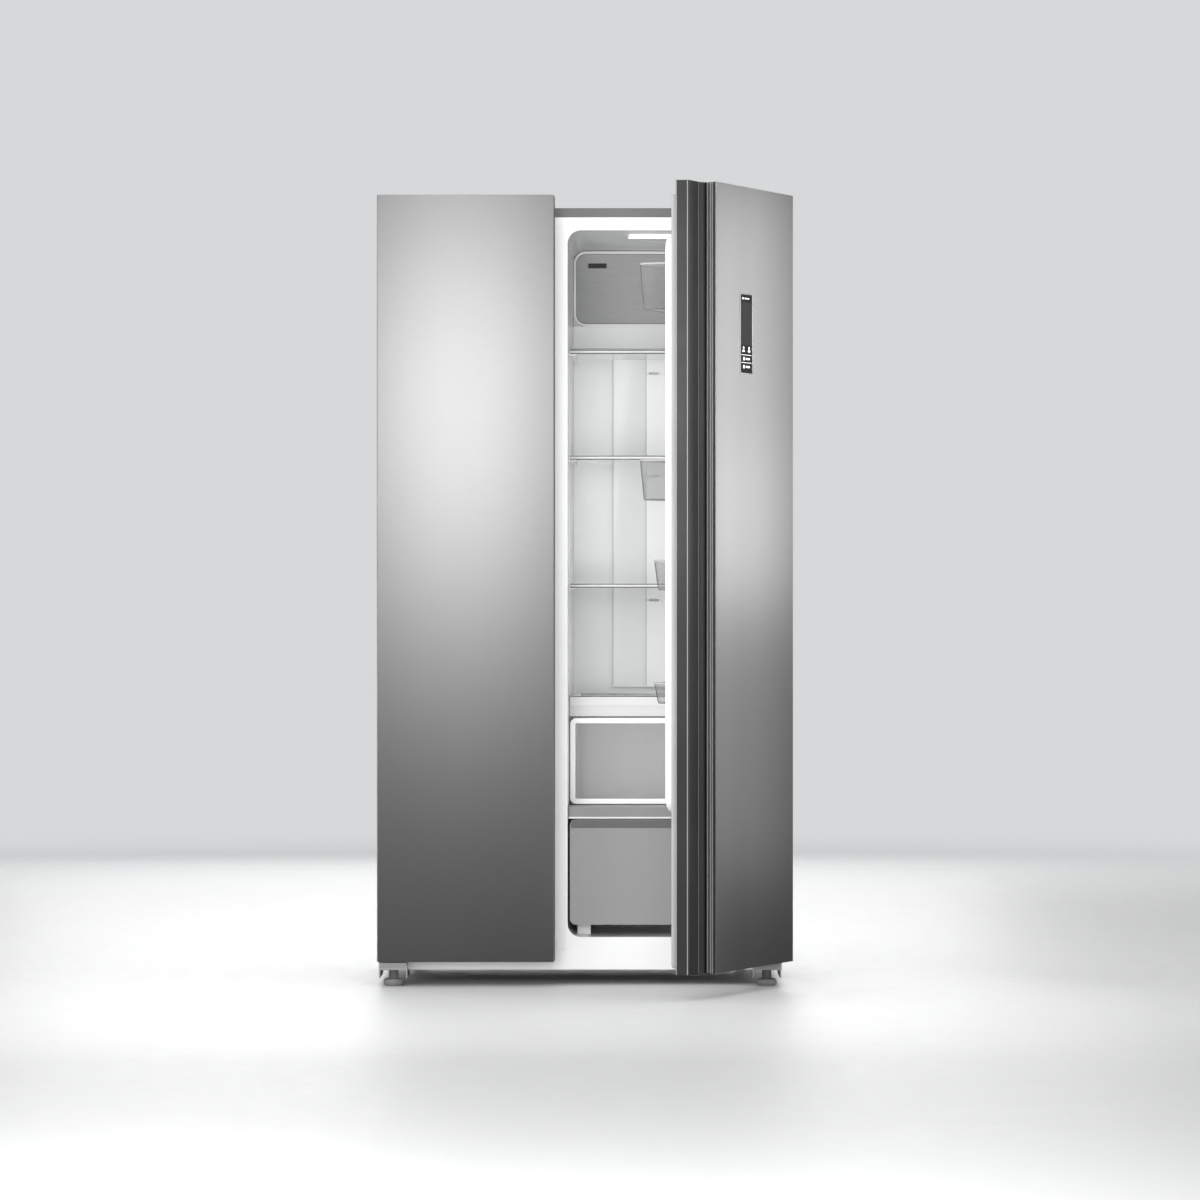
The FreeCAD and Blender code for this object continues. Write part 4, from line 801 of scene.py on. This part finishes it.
# A darker strip across the top of the lower drawer's front
low, high = node_box("lower_drawer")
bm = bmesh.new()
strip_x, strip_z = (low.x + 2 * MM, high.x - 1 * MM), (high.z - 19 * MM, high.z - 1 * MM)
add_plate(bm, strip_x, (low.y - 0.6 * MM, low.y + 1 * MM), strip_z, 3 * MM)
body, slot = "lower_drawer_box", "grey_clear_plastic"
publish("lower_drawer_top_band", bm, strip_dark, body, (), 0.0004, 2, 40)

low, high = node_box("drawer_divider")
bm = bmesh.new()
line_x, line_y = (low.x + 1 * MM, high.x - 1 * MM), (low.y - 1 * MM, low.y + 1 * MM)
add_plate(bm, line_x, line_y, (low.z, low.z + 4 * MM), 1 * MM)
publish("divider_line", bm, white_satin, "cabinet", (), 0.0003, 2, 40)

SHELF_TRIM_MAX_HEIGHT = 20 * MM
bm = bmesh.new()
for low, high in solid_boxes("larder_shelf_trims"):
    lines = [(high.z - 1.9 * MM, high.z - 0.1 * MM)]
    if high.z - low.z < SHELF_TRIM_MAX_HEIGHT:
        lines.append((low.z, low.z + 2.2 * MM))
    else:
        bar_low, bar_high = low, high
    for z in lines:
        line_x, line_y = (low.x + 1 * MM, high.x - 1 * MM), (low.y - 0.4 * MM, low.y + 1 * MM)
        add_plate(bm, line_x, line_y, z, 0.3 * MM, 3)
publish("shelf_trim_lines", bm, edge_dark, "cabinet", (), 0.0, 1, 40)

bm = bmesh.new()
band_x = (bar_low.x + 1 * MM, bar_high.x - 1 * MM)
band_z = (bar_low.z + 24 * MM, bar_high.z - 1.8 * MM)
add_plate(bm, band_x, (bar_low.y - 0.5 * MM, bar_low.y + 1 * MM), band_z, 1 * MM)
publish("crisper_cover_band", bm, cover_grey, "cabinet", (), 0.0003, 2, 40)

low, high = solid_boxes("larder_duct_cover")[0]
bm = bmesh.new()
mid_x, seam_z = (low.x + high.x) / 2, (low.z + 4 * MM, high.z - 56 * MM)
for reach_x, step_depth in ((115.5 * MM, 12 * MM), (37.5 * MM, 18 * MM)):
    for x in (mid_x - reach_x, mid_x + reach_x):
        face_y = high.y - step_depth
        seam_x, seam_y = (x - 0.6 * MM, x + 0.6 * MM), (face_y - 0.4 * MM, face_y + 3 * MM)
        add_plate(bm, seam_x, seam_y, seam_z, 0.3 * MM, 2)
publish("duct_seams", bm, seam_grey, "cabinet", (), 0.0, 1, 40)

low, high = node_box("cooling_panel")
slot_x = (low.x + 32 * MM, low.x + 74 * MM)
slot_z = (high.z - 36 * MM, high.z - 26 * MM)
bm = bmesh.new()
behind_y = (high.y + 0.3 * MM, high.y + 1.5 * MM)
add_plate(bm, grown(slot_x, 3 * MM), behind_y, grown(slot_z, 3 * MM), 1 * MM)
for share in (0.33, 0.66):
    z = slot_z[0] + share * (slot_z[1] - slot_z[0])
    slat_y, slat_z = (low.y + 0.4 * MM, high.y + 1 * MM), (z - 0.6 * MM, z + 0.6 * MM)
    add_plate(bm, slot_x, slat_y, slat_z, 0.2 * MM, 2)
publish("cooling_panel_louvre", bm, dark_plastic, "cabinet", (), 0.0, 1, 40)
bm = bmesh.new()
shape = [(0, 0.2), (0, -0.5), (1.2, -0.5), (1.2, 0.2)]
around_slot = [((inset - 1.2) * MM, low.y + rise * MM) for inset, rise in shape]
add_ring(bm, slot_x, slot_z, 0.5 * MM, around_slot, 3)
inside_edge = [((inset + 3) * MM, low.y + rise * MM) for inset, rise in shape]
add_ring(bm, (low.x, high.x), (low.z, high.z), 26 * MM, inside_edge)
publish("cooling_panel_lines", bm, strip_dark, "cabinet", (), 0.0, 1, 40)

low, high = node_box("larder_lamp")
bm = bmesh.new()
line_x, line_y = (low.x + 4 * MM, high.x - 4 * MM), (low.y - 0.8 * MM, low.y + 2 * MM)
add_plate(bm, line_x, line_y, (low.z + 0.6 * MM, low.z + 4 * MM), 1 * MM)
publish("lamp_light_line", bm, lamp_bright, "cabinet", (), 0.0003, 1, 40)

# ---- Feet, screws and the pressed back ---------------------------------------------------------


def add_lobed(bm, centre, axis, profile, sides=48):
    """Turned like add_turned, with (radius, height, lobes, depth) levels."""
    turn = Vector((0, 0, 1)).rotation_difference(Vector(axis)).to_matrix()
    loops = []
    for radius, height, lobes, depth in profile:
        loop = []
        for i in range(sides):
            a = 2 * math.pi * i / sides
            r = radius * (1 + depth * math.cos(lobes * a))
            loop.append(Vector(centre) + turn @ Vector((r * math.cos(a), r * math.sin(a), height)))
        loops.append(loop)
    add_loft(bm, loops)


def add_screw_head(bm, centre, axis, radius, height):
    """A domed head with a six-lobed recess, its seat at centre."""
    r, h = radius, height
    profile = [
        (r, -0.2 * h, 1, 0), (r, 0.35 * h, 1, 0), (0.93 * r, 0.65 * h, 1, 0),
        (0.75 * r, 0.9 * h, 1, 0), (0.55 * r, h, 1, 0), (0.42 * r, h, 6, 0.14),
        (0.40 * r, 0.35 * h, 6, 0.14), (0.1 * r, 0.3 * h, 6, 0.0),
    ]
    add_lobed(bm, centre, axis, profile, 36)


# In millimetres: the pad as (radius, height, lobes, depth), a thread turn as (radius, rise)
PAD = [
    (17.5, 0, 1, 0), (19, 0.3, 1, 0), (21.4, 3.2, 24, 0.012), (22.0, 4.6, 24, 0.02),
    (22.0, 12.4, 24, 0.02), (20.8, 14.6, 24, 0.01), (18, 16, 1, 0), (13, 17, 1, 0),
]
THREAD_ROOT, THREAD_CREST = 10.0, 10.9
THREAD_TURN = [(THREAD_ROOT, 0), (THREAD_CREST, 0.7), (THREAD_CREST, 1.0), (THREAD_ROOT, 1.7)]
THREAD_PITCH = 2.0
THREAD_START = 17.6
THREAD_RUNOUT = 2.4
for side in ("left", "right"):
    node = "levelling_foot_" + side
    low, high = node_box(node)
    x, y, top = (low.x + high.x) / 2, (low.y + high.y) / 2, high.z / MM
    stem = [(THREAD_CREST, 17.2, 1, 0)]
    height = THREAD_START
    while height < top - THREAD_RUNOUT:
        stem += [(radius, height + rise, 1, 0) for radius, rise in THREAD_TURN]
        height += THREAD_PITCH
    stem += [(9.8, top - 0.3, 1, 0), (9.0, top, 1, 0)]
    bm = bmesh.new()
    profile = [(r * MM, h * MM, lobes, depth) for r, h, lobes, depth in PAD + stem]
    add_lobed(bm, (x, y, 0), UP, profile, 96)
    publish(node + "_turned", bm, foot_grey, body_of[node], (node,), 0.0, 1, 32)

HINGE_SCREW = (5 * MM, 2.5 * MM)
PANEL_SCREW = (4.5 * MM, 2.2 * MM)
LID_SCREW = (3.5 * MM, 1.8 * MM)
PANEL_SCREW_INSET = 14 * MM
LID_SCREW_INSET = 8 * MM
BOARD_LID_MIN_WIDTH = 100 * MM
PANEL_ROWS, COVER_COLUMNS = 7, 5

bm = bmesh.new()
for low, high in solid_boxes("hinge_screws"):
    centre = ((low.x + high.x) / 2, (low.y + high.y) / 2, high.z - HINGE_SCREW[1])
    add_screw_head(bm, centre, UP, *HINGE_SCREW)
publish("hinge_screw_heads", bm, zinc, "cabinet", ("hinge_screws",), 0.0, 1, 32)

low, high = node_box("rear_panel")
cover_low, cover_high = node_box("machine_room_cover")
edge = PANEL_SCREW_INSET
bm = bmesh.new()
for x in (low.x + edge, high.x - edge):
    for row in range(PANEL_ROWS):
        z = low.z + edge + row * (high.z - low.z - 2 * edge) / (PANEL_ROWS - 1)
        add_screw_head(bm, (x, high.y, z), BACKWARD, *PANEL_SCREW)
for column in range(COVER_COLUMNS):
    run = cover_high.x - cover_low.x - 2 * edge
    x = cover_low.x + edge + column * run / (COVER_COLUMNS - 1)
    for z in (cover_low.z + 9 * MM, cover_high.z - 10 * MM):
        add_screw_head(bm, (x, cover_high.y, z), BACKWARD, *PANEL_SCREW)
for lid_low, lid_high in solid_boxes("top_covers"):
    if lid_high.x - lid_low.x < BOARD_LID_MIN_WIDTH:
        continue
    for x in (lid_low.x + LID_SCREW_INSET, lid_high.x - LID_SCREW_INSET):
        for y in (lid_low.y + LID_SCREW_INSET, lid_high.y - LID_SCREW_INSET):
            add_screw_head(bm, (x, y, lid_high.z), UP, *LID_SCREW)
publish("panel_screws", bm, zinc, "cabinet", (), 0.0, 1, 32)

# Pressed stiffening beads; the profile is (wider, rise) in millimetres, out to in
BEAD_SPACING = 165 * MM
BEAD_HALF_WIDTH = 22 * MM
BEAD_CORNER = 20 * MM
BEAD_END_MARGIN = 130 * MM
BEAD_PROFILE = ((7, -0.4), (6, 0.2), (3, 1.6), (0, 2.4))
bead_z = (low.z + BEAD_END_MARGIN, high.z - BEAD_END_MARGIN)
bm = bmesh.new()
for column in (-2, -1, 0, 1, 2):
    x = column * BEAD_SPACING
    bead_x = (x - BEAD_HALF_WIDTH, x + BEAD_HALF_WIDTH)
    loops = []
    for wider, rise in BEAD_PROFILE:
        grow = wider * MM
        plan = rounded_plan(grown(bead_x, grow), grown(bead_z, grow), BEAD_CORNER + grow)
        loops.append([(px, high.y + rise * MM, pz) for px, pz in plan])
    add_loft(bm, loops)
publish("rear_beads", bm, galvanised, "cabinet", (), 0.0, 1, 32)

# ---- Studio ------------------------------------------------------------------------------------
CAMERA_PLACE = (0.0446, -11.659, 0.8667)
camera_data = bpy.data.cameras.new("camera")
camera_data.lens = 151.4
camera_data.sensor_width = 36.0
camera_data.clip_end = 200.0
camera = bpy.data.objects.new("camera", camera_data)
camera.location = CAMERA_PLACE
camera.rotation_euler = (math.radians(90), 0, 0)
bpy.context.scene.collection.objects.link(camera)
bpy.context.scene.camera = camera

scene = bpy.context.scene
scene.view_settings.view_transform = "Standard"
scene.view_settings.look = "None"
scene.view_settings.exposure = 0.0


def softbox(name, place, target, size, watts, glossy=True):
    """A rectangular light nobody sees directly, aimed at target; glossy says if it reflects."""
    data = bpy.data.lights.new(name, "AREA")
    data.shape = "RECTANGLE"
    data.size, data.size_y = size
    data.energy = watts
    lamp = bpy.data.objects.new(name, data)
    lamp.location = place
    aim = Vector(target) - Vector(place)
    lamp.rotation_euler = aim.to_track_quat("-Z", "Y").to_euler()
    lamp.visible_camera = False
    lamp.visible_glossy = glossy
    scene.collection.objects.link(lamp)


softbox("key", (-0.29, -2.16, 1.38), (-0.29, -0.36, 1.36), (0.95, 0.8), 10.2)
softbox("side_high", (1.14, -0.16, 1.36), (0.20, -0.70, 1.32), (0.5, 1.0), 2.3)
softbox("side_low", (1.14, -0.16, 0.72), (0.20, -0.70, 0.72), (0.5, 1.0), 0.72)
softbox("interior", (0.191, -0.262, 0.80), (0.191, 0.2, 0.80), (0.36, 1.30), 0.95, glossy=False)
softbox("fill", (-0.6, -5.0, 0.8), (0.0, 0.0, 0.4), (3.0, 1.6), 102, glossy=False)
softbox("top", (0.0, -0.4, 3.4), (0.0, 0.0, 0.0), (2.5, 2.0), 34, glossy=False)
softbox("left_wall", (-4.6, -2.6, 1.6), (0.0, 0.0, 0.9), (2.6, 3.0), 60)
softbox("right_wall", (4.8, -2.2, 1.6), (0.0, 0.0, 0.9), (2.6, 3.0), 60)
softbox("rear", (-0.3, 5.2, 2.0), (0.0, 0.0, 0.9), (3.4, 3.0), 110)

# A pale sky to diffuse rays and a dark one to mirrors, so the metal keeps its contrast
world = bpy.data.worlds.new("studio")
scene.world = world
world.use_nodes = True
background = world.node_tree.nodes["Background"]
background.inputs["Color"].default_value = (0.75, 0.76, 0.77, 1.0)
background.inputs["Strength"].default_value = 0.9
glossy_sky = world.node_tree.nodes.new("ShaderNodeBackground")
glossy_sky.inputs["Color"].default_value = (0.016, 0.016, 0.017, 1.0)
ray = world.node_tree.nodes.new("ShaderNodeLightPath")
sky = world.node_tree.nodes.new("ShaderNodeMixShader")
world.node_tree.links.new(ray.outputs["Is Glossy Ray"], sky.inputs[0])
world.node_tree.links.new(background.outputs[0], sky.inputs[1])
world.node_tree.links.new(glossy_sky.outputs[0], sky.inputs[2])
world.node_tree.links.new(sky.outputs[0], world.node_tree.nodes["World Output"].inputs["Surface"])

FLOOR_RADIUS = 14.0
FLOOR_THICKNESS = 0.02
FADE_FROM, FADE_TO = 0.6, 7.5
bm = bmesh.new()
add_turned(bm, (0, 0, 0), UP, [(FLOOR_RADIUS, -FLOOR_THICKNESS), (FLOOR_RADIUS, 0.0)], 96)
mesh = bpy.data.meshes.new("floor")
bm.to_mesh(mesh)
bm.free()
floor = bpy.data.objects.new("floor", mesh)
scene.collection.objects.link(floor)
floor_paint = mottled("floor_paint", 0.86, 0.5, 0.004, grain=40.0)
tree = floor_paint.node_tree
reach = tree.nodes.new("ShaderNodeVectorMath")
reach.operation = "LENGTH"
fade = tree.nodes.new("ShaderNodeMapRange")
fade.interpolation_type = "SMOOTHSTEP"
fade.inputs["From Min"].default_value = FADE_FROM
fade.inputs["From Max"].default_value = FADE_TO
fade.inputs["To Min"].default_value = 1.0
fade.inputs["To Max"].default_value = 0.0
tree.links.new(object_place(tree), reach.inputs[0])
tree.links.new(reach.outputs["Value"], fade.inputs["Value"])
tree.links.new(fade.outputs["Result"], tree.nodes["Principled BSDF"].inputs["Alpha"])
floor.data.materials.append(floor_paint)
floor.visible_glossy = False
floor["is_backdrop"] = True

low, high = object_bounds()
